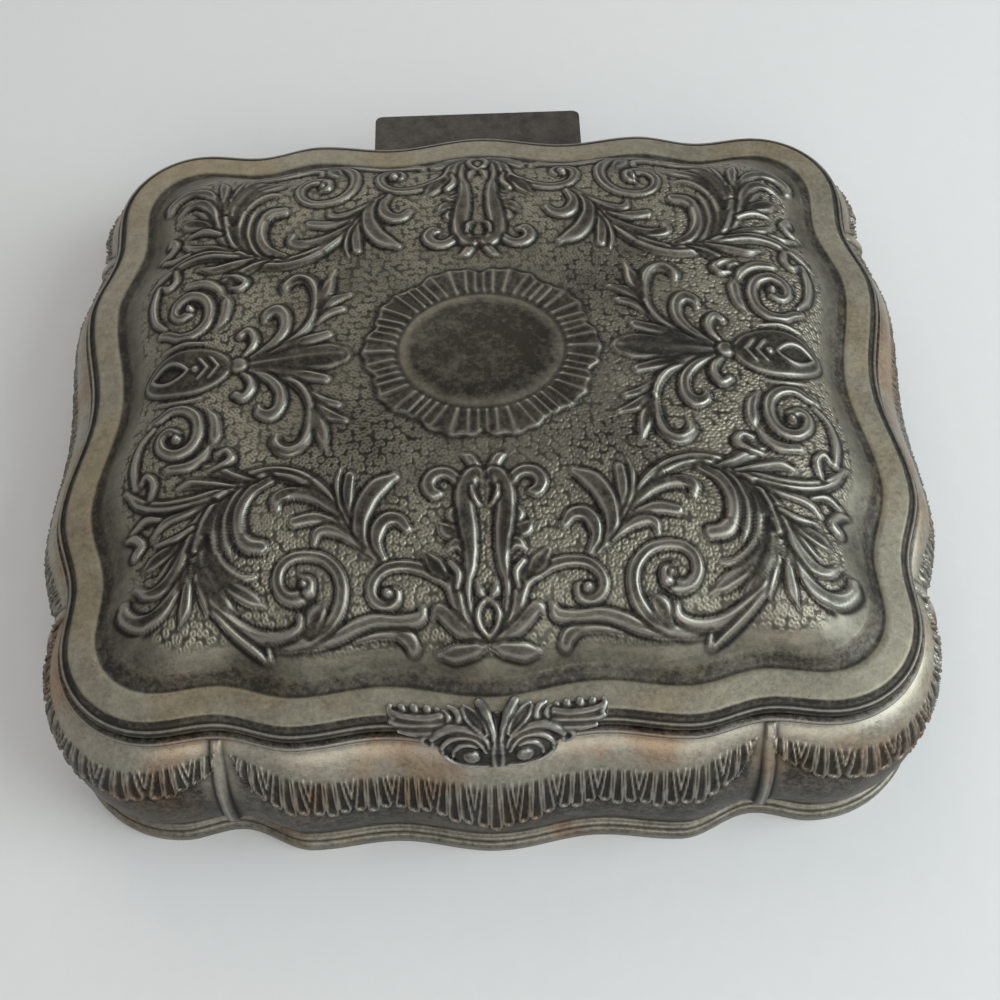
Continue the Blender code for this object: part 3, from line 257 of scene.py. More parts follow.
# The lid's ornament: scrolls, leaves and husks cast in relief over a punched ground,
# the same in all four quarters.  Each stroke is a curve through given points,
# in mm from the lid's middle towards the side and the front.
SCROLL, LEAF, FINE = 1.0 * MM, 0.85 * MM, 0.6 * MM
STROKE_STEP = 0.12 * MM
EDGE_WIDTH = 0.32 * MM
TRENCH_WIDTH = 0.4 * MM
CROWN_FALL = 0.42
TRENCH_DEPTH = 0.6
STROKES = (
    # Height, furrows, their depth, then points (x, y, half width)
    # Arch from the sprig to the corner fan, in three ridges
    (SCROLL, 3, 0.42, (14, 32.2, 0.6), (16.6, 30, 1), (18.7, 27.2, 1.1), (20.8, 24, 1.1),
     (23.4, 21, 1.2), (26.4, 19.1, 1.3), (30, 18.4, 1.3), (33.6, 19.3, 1.4), (36.4, 21.6, 1.5),
     (38.6, 25, 1.3), (39.9, 29, 0.9)),
    (SCROLL, 3, 0.42, (34, 19.6, 0.9), (37.5, 21, 1.2), (41.5, 21.9, 1.2),
     (45.5, 21.7, 1.1), (49, 20.3, 0.9), (51.3, 18, 0.4)),
    # Sprig above the small volute
    (LEAF, 1, 0.3, (18, 28.6, 0.3), (18.7, 25.6, 0.6), (18.9, 22.6, 0.9),
     (18.6, 19.8, 0.8)),
    (FINE, 0, 0.0, (18.4, 27.2, 0.3), (19.9, 24.2, 0.45), (20.4, 20.9, 0.5),
     (19.9, 18.6, 0.35)),
    (SCROLL, 1, 0.35, (15, 31.8, 0.4), (16.7, 29.6, 0.8), (17.2, 27, 1.1),
     (16.5, 24.2, 1.4), (14.9, 21.8, 1.4), (12.4, 20.2, 0.7)),
    (SCROLL, 1, 0.3, (13.9, 31.9, 0.5), (14.9, 29.7, 0.8), (14.6, 27.6, 1.1),
     (13.4, 26.4, 1.1), (11.8, 26.5, 0.95), (10.7, 27.8, 0.7)),
    (LEAF, 1, 0.35, (20, 25.6, 0.4), (22.2, 23.4, 0.8), (24.7, 22.1, 0.95),
     (27.1, 21.8, 0.95), (28.8, 22.4, 0.85), (28.7, 23.9, 0.6)),
    (LEAF, 1, 0.35, (19.2, 27.4, 0.4), (21.4, 26.1, 0.7), (23.7, 25.7, 0.95),
     (26.2, 26.1, 0.85)),
    (LEAF, 1, 0.3, (16.8, 30.4, 0.3), (19, 28.6, 0.6), (21.2, 27.5, 0.85),
     (22.9, 27.7, 0.75), (23.4, 29.3, 0.4)),
    # Small volute and its stem, from the knot
    (SCROLL, 1, 0.5, (0.4, 42.7, 0.4), (2.6, 41.3, 0.8), (3.8, 39.2, 0.95), (4.3, 37.2, 1),
     (5, 35.5, 1.05), (6.7, 34.3, 1), (8.8, 33.4, 0.85), (11, 32.9, 0.8), (13.3, 33.1, 0.8),
     (14.9, 34.2, 0.75), (15.6, 35.8, 0.75), (15.2, 37.3, 0.75), (13.9, 38, 0.8),
     (12.6, 37.5, 0.9), (12.5, 36.6, 0.95)),
    (SCROLL * 1.25, 0, 0.0, (13.3, 36.6, 0.75), (13.5, 36.5, 0.75)),
    (LEAF, 1, 0.6, (5.4, 34.8, 0.5), (6.9, 33.2, 1.25), (8.4, 31.2, 0.5)),
    (LEAF, 0, 0.0, (4.2, 36.4, 0.4), (3.8, 34.4, 0.7), (4.9, 32.8, 0.6)),
    # Leaves round the knot
    (LEAF, 1, 0.35, (0.3, 42.4, 0.3), (2.2, 42, 0.65), (4.1, 41, 0.95), (5.5, 39.7, 1),
     (6.6, 38.9, 0.85), (7.4, 39.6, 0.35)),
    (LEAF, 1, 0.35, (0.3, 43.2, 0.3), (2.2, 43.5, 0.85), (4.4, 43.7, 1), (6.9, 43.6, 0.4)),
    # Two tall leaves round a punched almond, with curled leaves at their sides
    (LEAF, 1, 0.3, (1.7, 21.6, 0.6), (1.3, 19.6, 0.85), (1.9, 18.1, 0.8), (3, 17.4, 0.3)),
    (SCROLL, 1, 0.4, (2.8, 22.9, 0.7), (3.9, 21, 0.8), (5.4, 20, 0.85), (7, 20.3, 0.95),
     (7.8, 21.6, 1), (7.2, 22.9, 0.95), (6.3, 23, 0.6)),
    (LEAF, 1, 0.5, (2.9, 28, 0.4), (3.9, 27.4, 0.75), (4.6, 26.2, 0.75), (4, 24.9, 0.35)),
    (LEAF, 1, 0.45, (2.6, 30, 0.5), (3.8, 28.9, 1.25), (5.2, 28.4, 1.05), (6.5, 27, 0.25)),
    (LEAF, 1, 0.45, (2.1, 32.6, 0.4), (2.9, 31, 0.85), (4.1, 30.2, 0.85), (5.4, 31.2, 0.3)),
    (SCROLL, 1, 0.3, (0.6, 42, 0.3), (1.9, 40.4, 0.4), (2.6, 38, 0.45), (2.6, 35.4, 0.6),
     (2.2, 33, 0.85), (2.2, 30.4, 1.1), (2.5, 27.8, 1.35), (2.8, 25.2, 1.35), (2.7, 22.8, 1.4),
     (2, 20.9, 1.25), (1, 20.2, 0.95), (0.4, 21.4, 0.4)),
    (SCROLL * 1.15, 0, 0.0, (0.9, 24.8, 0.25), (1.6, 23.6, 0.55), (1.8, 22.2, 0.35)),
    # Small husk in the fork, with a leaf over it
    (LEAF, 0, 0.0, (0.1, 42.2, 0.25), (1, 41.3, 0.36), (1.45, 40, 0.42), (1.1, 38.7, 0.38),
     (0.1, 37.7, 0.3)),
    (LEAF, 1, 0.5, (0.5, 37.5, 0.3), (1.1, 36.6, 0.55), (1.3, 35.4, 0.3)),
    # Long scroll along the front edge, with its curled foot
    (SCROLL, 1, 0.4, (8.7, 38.7, 0.5), (9.3, 39.7, 0.85), (11.9, 39.9, 0.8),
     (15, 39.7, 0.85), (17.6, 40.3, 0.9), (20.2, 41.3, 0.8), (22.8, 42, 0.6), (26, 42.3, 0.4),
     (29, 42.2, 0.25)),
    (LEAF, 1, 0.35, (18, 41.8, 0.25), (15.2, 41.2, 0.4), (12.6, 41.2, 0.5),
     (10.8, 41.8, 0.9), (10.2, 42.7, 0.9)),
    # Large volute
    (SCROLL, 1, 0.5, (29.5, 42, 0.3), (25.8, 42, 0.65), (22.3, 40.9, 0.85),
     (20.2, 38.8, 0.9), (19.5, 36.2, 0.85), (20, 33.7, 0.85), (21.7, 31.7, 0.8), (24, 30.9, 0.75),
     (26.4, 31.1, 0.75), (28, 32.5, 0.75), (28.3, 34.6, 0.8), (27.3, 36.2, 0.85),
     (25.6, 36.6, 0.95), (24.1, 35.8, 1)),
    (SCROLL, 0, 0.0, (24.1, 35.8, 1), (24, 34.6, 0.9), (24.9, 34, 0.5)),
    (SCROLL * 1.4, 0, 0.0, (24.7, 34.9, 0.55), (24.8, 34.8, 0.55)),
    (LEAF, 1, 0.65, (24.1, 40.8, 0.7), (23.2, 39.2, 1.25), (21.6, 37.2, 0.3)),
    # Corner fan: stems that run down and left
    (SCROLL, 1, 0.4, (39.9, 30.5, 0.5), (38.9, 34.3, 0.65), (36.4, 37.4, 0.75),
     (33.4, 39.6, 0.75), (30.4, 40.8, 0.75), (27.4, 41, 0.7), (25.5, 40.2, 0.6), (25.2, 39, 0.5)),
    (LEAF, 0, 0.0, (37.9, 37, 0.3), (34.9, 39.8, 0.5), (32.3, 41.8, 0.55),
     (30.2, 43.4, 0.3)),
    (FINE, 0, 0.0, (29.9, 42, 0.35), (29.7, 43.3, 0.4)),
    # Corner fan: leaves
    (LEAF, 1, 0.4, (33.2, 19.8, 0.3), (35.2, 22.4, 0.65), (35.9, 25.5, 0.75),
     (35.5, 28.8, 0.6), (34.6, 30.8, 0.25)),
    (SCROLL, 1, 0.35, (29.8, 19.6, 0.7), (32.4, 21.1, 0.9), (33.9, 23.8, 1),
     (33.9, 26.8, 1), (32.6, 28.9, 1.15), (30.6, 29.4, 1.05)),
    (LEAF, 1, 0.35, (35.4, 21, 0.3), (37.2, 24, 0.75), (37.7, 27, 1), (37.1, 30, 0.9),
     (35.2, 32.5, 0.75), (33, 33.6, 0.55), (31.4, 33.5, 0.4)),
    (LEAF, 1, 0.6, (38.3, 27.4, 0.3), (37.6, 31, 0.8), (35.4, 34.1, 1.05), (32.4, 36, 1),
     (29.8, 37.4, 0.25)),
    (FINE, 0, 0.0, (39.3, 34, 0.3), (38.4, 36, 0.5), (37.8, 37.9, 0.3)),
    (LEAF, 1, 0.4, (38.7, 28, 0.3), (38.8, 31, 0.75), (37.5, 34, 0.9), (35.6, 36.4, 0.75),
     (34, 38, 0.2)),
    (SCROLL, 1, 0.35, (40.7, 31.5, 0.35), (40.7, 34.5, 0.75), (41, 37, 0.85),
     (41.8, 39.2, 0.2)),
    (SCROLL, 1, 0.4, (41, 29.5, 0.4), (42.7, 34.8, 0.8), (45.1, 37.4, 1),
     (47.9, 37.9, 1.15), (50, 36.6, 1.1), (50.4, 34.9, 0.7)),
    (SCROLL, 1, 0.4, (39.2, 23.2, 0.4), (41.1, 27.2, 0.85), (42.2, 31, 0.95),
     (44.2, 33.8, 0.95), (46.6, 34.3, 0.75), (48.5, 33, 0.35)),
    (FINE, 0, 0.0, (41.8, 28, 0.3), (43.8, 31, 0.5), (45.2, 32.4, 0.25)),
    (LEAF, 1, 0.55, (41.6, 27, 0.4), (43.8, 28.7, 1), (45.9, 29.8, 1.1),
     (47.8, 31.1, 0.25)),
    (LEAF, 0, 0.0, (40.3, 25.8, 0.5), (43, 27.1, 0.65), (45.8, 27.3, 0.35)),
    (LEAF, 1, 0.35, (37.8, 22, 0.3), (41.4, 23.3, 0.6), (44.8, 24.2, 0.7),
     (46.6, 25.9, 0.3)),
    (LEAF, 0, 0.0, (45.6, 23.4, 0.4), (47.9, 23, 0.6), (50.2, 24.2, 0.4)),
    (SCROLL, 0, 0.0, (50.9, 24.8, 0.4), (49.4, 25.2, 0.7), (48.3, 26.6, 0.8),
     (49.2, 27.7, 0.9)),
    # Leaves above the arch
    (LEAF, 2, 0.35, (31.9, 19.4, 0.4), (34.8, 18.4, 0.95), (37.2, 17, 1.1),
     (39.2, 16.4, 0.45)),
    (LEAF, 0, 0.0, (39, 17.2, 0.3), (37, 16.6, 0.6), (35.6, 15.5, 0.7), (36.3, 14.3, 0.6),
     (37.8, 14.6, 0.4)),
    (LEAF, 2, 0.35, (34.6, 20, 0.4), (38.2, 19.3, 0.85), (41.2, 18.8, 0.85),
     (43.2, 19.4, 0.4)),
    (LEAF, 0, 0.0, (47.4, 20.4, 0.4), (46.9, 17.9, 0.6), (48.1, 16.6, 0.6),
     (49.3, 17.7, 0.35)),
    # Side volute, with its husk and outer leaves
    (SCROLL, 1, 0.4, (48.4, 8, 0.6), (46.9, 7.4, 0.7), (45.2, 6.5, 0.75), (43, 6.7, 0.8),
     (41.2, 8.3, 0.85), (40.8, 11, 0.85), (41.9, 13.2, 0.85), (44.1, 14, 0.85), (46, 12.9, 0.8),
     (46.5, 11.1, 0.7), (45.4, 10, 0.7), (44.1, 10.6, 0.8)),
    (SCROLL * 1.3, 0, 0.0, (43.9, 11.4, 0.65), (44, 11.5, 0.65)),
    (LEAF, 1, 0.35, (38.8, 12.8, 0.3), (39.7, 14.7, 0.7), (41.8, 16.1, 0.8),
     (44.7, 16.2, 0.7)),
    (LEAF, 1, 0.3, (39.8, 6.8, 0.3), (38.5, 9, 0.85), (38.2, 11.4, 0.95),
     (38.4, 13.2, 0.3)),
    (LEAF, 0, 0.0, (47.8, 8.8, 0.4), (49.7, 11, 0.6), (50.4, 14.3, 0.7), (49.9, 17.8, 0.5)),
    (FINE, 0, 0.0, (40.8, 4.9, 0.25), (44.4, 5.2, 0.4), (47.8, 4.6, 0.25)),
    # Palmette towards the oval
    (SCROLL, 2, 0.4, (33.8, 0.8, 0.4), (29.3, 2.3, 0.7), (26.1, 4.8, 0.8), (24.4, 8, 0.8),
     (24.3, 11.4, 0.85), (25.5, 14.3, 0.9), (27.6, 15.1, 1.1), (29.2, 13.9, 0.9),
     (29.2, 12.4, 0.4)),
    (SCROLL, 1, 0.35, (33.9, 1.2, 0.3), (31, 2.8, 0.7), (29.1, 5.2, 0.85), (29, 7.8, 0.95),
     (30.2, 9.2, 1.05), (31.7, 8.7, 0.85), (32.1, 7.4, 0.45)),
    (SCROLL, 0, 0.0, (34.8, 1.6, 0.4), (33.6, 2.9, 0.7), (33.4, 4.5, 0.8), (34.4, 5.8, 0.8),
     (35.6, 5.2, 0.7)),
    (LEAF, 1, 0.35, (24.2, 6, 0.3), (22.7, 7.7, 0.8), (20.4, 8.4, 0.6)),
    (LEAF, 1, 0.35, (23.9, 7.6, 0.3), (22.4, 9.7, 1), (19.3, 11, 0.5)),
    (LEAF, 1, 0.4, (24, 9, 0.4), (23, 12, 1.1), (21.8, 16.2, 0.25)),
    (LEAF, 1, 0.45, (33, 0.5, 0.3), (28.8, 2, 0.75), (25.6, 3, 0.95), (22.4, 3.9, 0.75)),
    (LEAF, 2, 0.3, (34, 0, 0.6), (30, 0, 1.1), (26, 0, 2), (22.6, 0, 2.2), (20.3, 0, 1.5)),
    (LEAF, 0, 0.0, (35.4, 0, 1.3), (35.7, 0, 1.3)),
)
POD_MIDDLE, POD_HALF_LENGTH, POD_HALF_WIDTH = 43.5 * MM, 7.1 * MM, 4.2 * MM
POD_RELIEF = 1.0 * MM
POD_SEED = (46.2 * MM, 3.0 * MM, 1.75 * MM)
POD_BEAD = 42.1 * MM
POD_BEAD_EDGE = (0.75 * MM, 0.35 * MM)
POD_CHEVRONS = (40.2 * MM, 38.5 * MM)
CHEVRON_WIDTH = 0.32 * MM
CHEVRON_ENDS = (2.3 * MM, 1.5 * MM)
RING_INNER = (12.1 * MM, 9.9 * MM)
RING_OUTER = (16.9 * MM, 14.6 * MM)
RING_RELIEF = 0.62 * MM
RING_FLUTES, RING_LOBES, RING_RIPPLES = 54, 10, 34
RING_LIMIT = 25 * MM
RESERVE_RISE = 0.35 * MM
RESERVE_GROOVE = 0.1 * MM


def curve_through(points):
    """Catmull-Rom curve through rows of (x, y, half width) in mm, sampled evenly.

    Returns its points and the half width at each, which eases from row to row.
    """
    points = np.array(points) * MM
    places, widths = points[:, :2], points[:, 2]
    held = np.concatenate([2 * places[:1] - places[1:2], places, 2 * places[-1:] - places[-2:-1]])
    count = len(points) - 1
    chord = np.hypot(*np.diff(places, axis=0).T)
    steps = max(int(chord.sum() * 1.15 / STROKE_STEP), 3)
    place = np.linspace(0, count, steps + 1)
    span = np.minimum(place.astype(int), count - 1)
    share = (place - span)[:, None]
    a, b, c, d = held[span], held[span + 1], held[span + 2], held[span + 3]
    curve = 0.5 * (2 * b + (c - a) * share + (2 * a - 5 * b + 4 * c - d) * share ** 2
                   + (3 * b - a - 3 * c + d) * share ** 3)
    smooth = share[:, 0] ** 2 * (3 - 2 * share[:, 0])
    return curve, widths[span] + (widths[span + 1] - widths[span]) * smooth


def stroke_relief(relief, solid, x, y, stroke):
    """Lay one stroke over a relief: a crowned band with grooves, in its own narrow trench.

    Across the band, height is a low crown times 1 minus a cosine furrow, cut off at
    its edge; what lies under it is lowered next to that edge.
    """
    height, furrows, depth, *points = stroke
    curve, half = curve_through(points)
    reach = half.max() + TRENCH_WIDTH + EDGE_WIDTH
    low, high = curve.min(axis=0) - reach, curve.max(axis=0) + reach
    near = np.flatnonzero((x > low[0]) & (x < high[0]) & (y > low[1]) & (y < high[1]))
    if not len(near):
        return
    away = (x[near, None] - curve[None, :, 0]) ** 2 + (y[near, None] - curve[None, :, 1]) ** 2
    score = np.sqrt(away) - half[None, :] * 0.999
    closest = np.argmin(score, axis=1)
    width = half[closest]
    direction = np.gradient(curve, axis=0)
    direction /= np.hypot(*direction.T)[:, None] + 1e-12
    delta = np.stack([x[near], y[near]], axis=1) - curve[closest]
    side = delta[:, 0] * direction[closest, 1] - delta[:, 1] * direction[closest, 0]
    reach_out = np.sqrt(away[np.arange(len(near)), closest])
    across = np.clip(np.sign(side) * reach_out / width, -1.2, 1.2)
    inside = soft_step(width - reach_out, -0.35 * EDGE_WIDTH, 0.65 * EDGE_WIDTH)
    crown = 1 - CROWN_FALL * across ** 2
    furrow = 1 - 0.8 * depth * (0.5 - 0.5 * np.cos(np.pi * furrows * (0.84 * across + 1)))
    fullness = np.sqrt(unit(width / half.max()))
    band = height * crown * furrow * fullness * inside
    trench = soft_step(reach_out - width, -EDGE_WIDTH, 0) * (
        1 - soft_step(reach_out - width, 0.3 * TRENCH_WIDTH, TRENCH_WIDTH))
    trench = trench * (1 - 0.55 * solid[near])
    under = relief[near] * (1 - TRENCH_DEPTH * trench) * (1 - 0.75 * inside)
    relief[near] = np.maximum(under, band)
    solid[near] = np.maximum(solid[near], inside)


def pod_relief(relief, solid, x, y):
    """The side husk: a smooth oval that bears an outlined almond, a bead and chevrons.

    The almond's outline is a parabola on each side of the axis; a chevron is a pair of
    short bars that meet on the axis and open outwards.
    """
    along = (x - POD_MIDDLE) / POD_HALF_LENGTH
    edge = POD_HALF_WIDTH * unit(1 - along ** 2) ** 0.55
    depth = edge - np.abs(y)
    body = soft_step(depth, 0, EDGE_WIDTH)
    away = np.abs(y)
    seed = away / POD_SEED[2] + ((x - POD_SEED[0]) / POD_SEED[1]) ** 2
    form = bell(seed - 1, 0.2)
    form = np.maximum(form, soft_step(np.hypot(x - POD_BEAD, y), *POD_BEAD_EDGE))
    for apex in POD_CHEVRONS:
        bar = bell(x - apex - 0.75 * away, CHEVRON_WIDTH)
        form = np.maximum(form, bar * soft_step(away, *CHEVRON_ENDS))
    hollow = 0.3 * soft_step(seed, 0.85, 0.5)
    swell = 0.55 + 0.2 * soft_step(depth, 0, 1.8 * MM)
    height = POD_RELIEF * body * (swell + 0.4 * form - hollow)
    relief[:] = np.where(body > 0, np.maximum(relief * (1 - body), height), relief)
    solid[:] = np.maximum(solid, body)


def ring_relief(relief, solid, x, y):
    """The oval's ruffled ring: thin ridges fan out to a scalloped rim, round a low boss.

    Returns masks of the reserve, of all that lies within the rim, and of the painted
    highlight on the ridges.
    """
    turn = np.arctan2(y / RING_OUTER[1], x / RING_OUTER[0])
    inner = 1 / np.hypot(np.cos(turn) / RING_INNER[0] * RING_OUTER[0],
                         np.sin(turn) / RING_INNER[1] * RING_OUTER[1])
    scale = np.hypot(x / RING_OUTER[0], y / RING_OUTER[1])
    lobe = np.abs(np.cos(turn * RING_LOBES / 2)) ** 0.7
    ruffle = 0.955 + 0.07 * lobe + 0.012 * np.cos(turn * RING_RIPPLES)
    share = (scale - inner) / (ruffle - inner)
    bend = 0.1 + 0.35 * share
    phase = turn / (2 * np.pi) * RING_FLUTES - bend * np.sin(turn * RING_LOBES)
    ridge = bell(phase - np.round(phase), 0.15) * soft_step(share, 1.0, 0.86)
    climb = soft_step(share, 0.0, 0.14) * soft_step(share, 1.04, 0.95)
    rim = bell(share - 0.93, 0.06) * (0.55 + 0.45 * np.cos(turn * 22 + 0.6))
    height = RING_RELIEF * climb * (0.22 + 0.38 * share + 0.4 * np.maximum(ridge, 0.7 * rim))
    groove = RESERVE_GROOVE * bell(share, 0.05)
    boss = RESERVE_RISE * soft_step(share, -0.02, -0.8) - groove
    on_ring = (share < 1.04) & (np.hypot(x, y) < RING_LIMIT)
    relief[:] = np.where(on_ring, height + boss, relief)
    solid[:] = np.where(on_ring, soft_step(share, -0.02, 0.07), solid)
    reserve = np.where(on_ring, soft_step(share, -0.04, -0.5), 0.0)
    # Painted highlight along the ridges, brighter towards the reserve.
    shine = ridge * (0.45 + 0.4 * soft_step(share, 0.35, 0.05) + 0.15 * np.cos(turn * 14))
    return reserve, on_ring * 1.0, on_ring * climb * np.maximum(shine, 0.35 * rim)


def soften(field, cells):
    """Blur a grid: a running mean over 2 * cells + 1 points each way, done twice."""
    for _ in range(2):
        for axis in (0, 1):
            wide = np.concatenate([
                np.repeat(np.take(field, [0], axis), cells + 1, axis), field,
                np.repeat(np.take(field, [-1], axis), cells, axis),
            ], axis)
            total = np.cumsum(wide, axis)
            count = field.shape[axis]
            high = np.take(total, np.arange(2 * cells + 1, 2 * cells + 1 + count), axis)
            low = np.take(total, np.arange(count), axis)
            field = (high - low) / (2 * cells + 1)
    return field


def surface_normals(grid, closed):
    """Unit normals of a grid of points, from the slopes along its rows and columns."""
    if closed:
        grid = np.concatenate([grid[:, -1:], grid, grid[:, :1]], axis=1)
    along_row = np.gradient(grid, axis=1)
    across = np.gradient(grid, axis=0)
    if closed:
        along_row, across = along_row[:, 1:-1], across[:, 1:-1]
    normals = np.cross(along_row, across)
    return normals / (np.linalg.norm(normals, axis=2, keepdims=True) + 1e-15)


def coat(mesh, finish):
    """Give a mesh one material in place of its own."""
    mesh.materials.clear()
    mesh.materials.append(finish)


def add_masks(mesh, masks):
    """Give a mesh float values at its points, under their names."""
    for name, values in masks.items():
        layer = mesh.attributes.new(name, "FLOAT", "POINT")
        layer.data.foreach_set("value", np.asarray(values, dtype=np.float32).ravel())


def grid_quads(index, closed):
    """Quads between the rows and columns of a grid of point numbers."""
    if closed:
        index = np.concatenate([index, index[:, :1]], axis=1)
    quads = np.stack([index[:-1, :-1], index[:-1, 1:], index[1:, 1:], index[1:, :-1]], axis=-1)
    return quads.reshape(-1, 4)


def grid_piece(name, grid, finish, facing=1, closed=False, normals=None, masks=None):
    """Piece from a grid of points: quads between rows and columns, with soft normals.

    facing 1 keeps the turn of the grid and -1 reverses it; masks are point attributes.
    """
    rows, columns = grid.shape[:2]
    quads = grid_quads(np.arange(rows * columns).reshape(rows, columns), closed)[:, ::facing]
    mesh = bpy.data.meshes.new(name)
    mesh.vertices.add(rows * columns)
    mesh.vertices.foreach_set("co", grid.astype(np.float32).ravel())
    mesh.loops.add(quads.size)
    mesh.loops.foreach_set("vertex_index", quads.astype(np.int32).ravel())
    mesh.polygons.add(len(quads))
    mesh.polygons.foreach_set("loop_start", np.arange(0, quads.size, 4, dtype=np.int32))
    mesh.update(calc_edges=True)
    mesh.shade_smooth()
    if normals is None:
        normals = surface_normals(grid, closed)
    mesh.normals_split_custom_set_from_vertices((facing * normals).reshape(-1, 3))
    add_masks(mesh, masks or {})
    mesh.materials.append(finish)
    return placed(name, mesh)


def effect_group(name, inputs, outputs):
    """New shader node group with a Place input; returns its tree, inputs and output node.

    inputs gives each further input's default, a number or a colour; a colour output is
    named Color and the others are numbers.
    """
    tree = bpy.data.node_groups.new(name, "ShaderNodeTree")
    tree.interface.new_socket("Place", in_out="INPUT", socket_type="NodeSocketVector")
    for label, value in inputs.items():
        kind = "NodeSocketFloat" if isinstance(value, float) else "NodeSocketColor"
        tree.interface.new_socket(label, in_out="INPUT", socket_type=kind).default_value = value
    for label in outputs:
        kind = "NodeSocketColor" if label == "Color" else "NodeSocketFloat"
        tree.interface.new_socket(label, in_out="OUTPUT", socket_type=kind)
    return tree, tree.nodes.new("NodeGroupInput").outputs, tree.nodes.new("NodeGroupOutput")


def grouped(tree, group, inputs):
    """Node of an effect group at the object's own place, with its inputs filled."""
    return add_node(tree, "ShaderNodeGroup", {"Place": object_place(tree), **inputs},
                    node_tree=group)


# The metal's finish, shared by all castings: a patina of clouds, mottle, grain and pits,
# and the look of the punched ground.  Scales are in waves per metre of the object.
CLOUD_SCALE, MOTTLE_SCALE, GRAIN_SCALE, PIT_SCALE = 120.0, 430.0, 1500.0, 3600.0
PATCH_SCALE, GROUND_SCALE = 75.0, 140.0
NEAR_BLACK = (0.012, 0.0115, 0.011)
# Pale colour of edges and crests: partly rubbed metal, partly a painted highlight.
RUBBED_HIGHLIGHT = (0.5, 0.485, 0.44)
GRAIN_BUMP = 0.12 * MM


def patina_group():
    """Antiqued white metal: dark in the hollows, pale on the edges, clouded between.

    The pale edge is partly rubbed wear and partly a painted highlight, and the dark
    hollow partly blackened patina and partly painted shade.  Colour goes from dark to
    light with the tone, a noise and the edge mask, then turns to the hollow's near black;
    fine pits and clouds give the height.
    """
    tree, given, out = effect_group("patina", {
        "Tone": 0.5, "Edge": 0.0, "Hollow": 0.0, "Dark": (0.05, 0.05, 0.047, 1),
        "Light": (0.3, 0.29, 0.26, 1), "Rubbed_Highlight": (0.5, 0.49, 0.46, 1), "Cloud": 0.3,
        "Speckle": 0.3, "Dull": 0.0,
    }, ("Color", "Roughness", "Height"))
    place = given["Place"]
    cloud = noise(tree, place, CLOUD_SCALE, 5.0, 0.6)
    mottle = noise(tree, place, MOTTLE_SCALE, 4.0, 0.7)
    grain = noise(tree, place, GRAIN_SCALE, 3.0, 0.65)
    pits = noise(tree, place, PIT_SCALE, 2.0, 0.5)
    uneven = sums(tree, "ADD", cloud,
                  sums(tree, "MULTIPLY", sums(tree, "SUBTRACT", mottle, 0.5), 1.3))
    drift = sums(tree, "MULTIPLY", sums(tree, "SUBTRACT", uneven, 0.5), given["Cloud"])
    fleck = sums(tree, "MULTIPLY", sums(tree, "SUBTRACT", grain, 0.5), given["Speckle"])
    tone = sums(tree, "ADD", given["Tone"], drift, fleck, clamp=True)
    plain = mix_colour(tree, tone, given["Dark"], given["Light"])
    rubbed_highlight = mix_colour(tree, given["Edge"], plain, given["Rubbed_Highlight"])
    spots = sums(tree, "MULTIPLY", given["Speckle"], 0.7, remap(tree, pits, 0.66, 0.74))
    black = sums(tree, "MAXIMUM", given["Hollow"], spots)
    rough = sums(tree, "ADD", remap(tree, cloud, 0.3, 0.7, 0.36, 0.5),
                 sums(tree, "MULTIPLY", fleck, 0.35), sums(tree, "MULTIPLY", given["Edge"], -0.1),
                 sums(tree, "MULTIPLY", given["Hollow"], 0.2), given["Dull"], clamp=True)
    plug(tree, out, {
        "Color": mix_colour(tree, sums(tree, "MULTIPLY", black, 0.93, clamp=True), rubbed_highlight,
                            NEAR_BLACK),
        "Roughness": rough,
        "Height": sums(tree, "ADD", sums(tree, "MULTIPLY", grain, 0.55),
                       sums(tree, "MULTIPLY", pits, 0.35)),
    })
    return tree


PUNCH_PITCH = 0.96 * MM
PUNCH_SHAKE = 0.66
PUNCH_CELLS = 90
PUNCH_DOME = (0.66, 0.32)
PUNCH_DIMPLE = (0.3, 0.08)
PUNCH_RELIEF = 0.13 * MM
PUNCH_BUMP = 0.09 * MM


def punch_group():
    """Ground of round punch marks: ringed pebbles with a dimple, dark in the gaps.

    Away is the distance to the nearest mark.  Height is a round-topped dome of it, less a
    small dimple; the tone follows it as painted shading, and the gap, where no mark is
    near, is darkened, partly as patina and partly as painted shade.
    """
    tree, given, out = effect_group("punch_marks", {"Away": 1.0, "Ground": 0.0},
                                    ("Height", "Tone", "Gap"))
    away = given["Away"]
    lift = sums(tree, "SUBTRACT", remap(tree, away, *PUNCH_DOME),
                sums(tree, "MULTIPLY", remap(tree, away, *PUNCH_DIMPLE), 0.55))
    uneven = noise(tree, given["Place"], GROUND_SCALE, 3.0, 0.6)
    strength = sums(tree, "MULTIPLY", given["Ground"], remap(tree, uneven, 0.3, 0.7, 0.4, 1.0))
    # Painted shading: each mark paler on its dome and darker down its sides; the gaps are darkened,
    # partly patina and partly painted shade.
    shade = sums(tree, "SUBTRACT", sums(tree, "MULTIPLY", lift, 0.75), 0.34)
    gap = sums(tree, "MULTIPLY", remap(tree, away, 0.48, 0.72), 0.72)
    for output, value in (("Height", lift), ("Tone", shade), ("Gap", gap)):
        plug(tree, out, {output: sums(tree, "MULTIPLY", value, strength)})
    return tree


def nearest_mark(x, y):
    """Distance to the nearest punch mark, in pitches: marks are shaken on a square grid."""
    shake = PUNCH_SHAKE * np.random.default_rng(11).uniform(
        0, 1, (2, 2 * PUNCH_CELLS, 2 * PUNCH_CELLS))
    x, y = x / PUNCH_PITCH, y / PUNCH_PITCH
    nearest = np.full(x.shape, 2.0)
    for over in (-1, 0, 1):
        for up in (-1, 0, 1):
            column, row = np.floor(x).astype(int) + over, np.floor(y).astype(int) + up
            place = shake[:, column + PUNCH_CELLS, row + PUNCH_CELLS]
            nearest = np.minimum(nearest, np.hypot(column + place[0] - x, row + place[1] - y))
    return nearest


patina = patina_group()
punch_marks = punch_group()


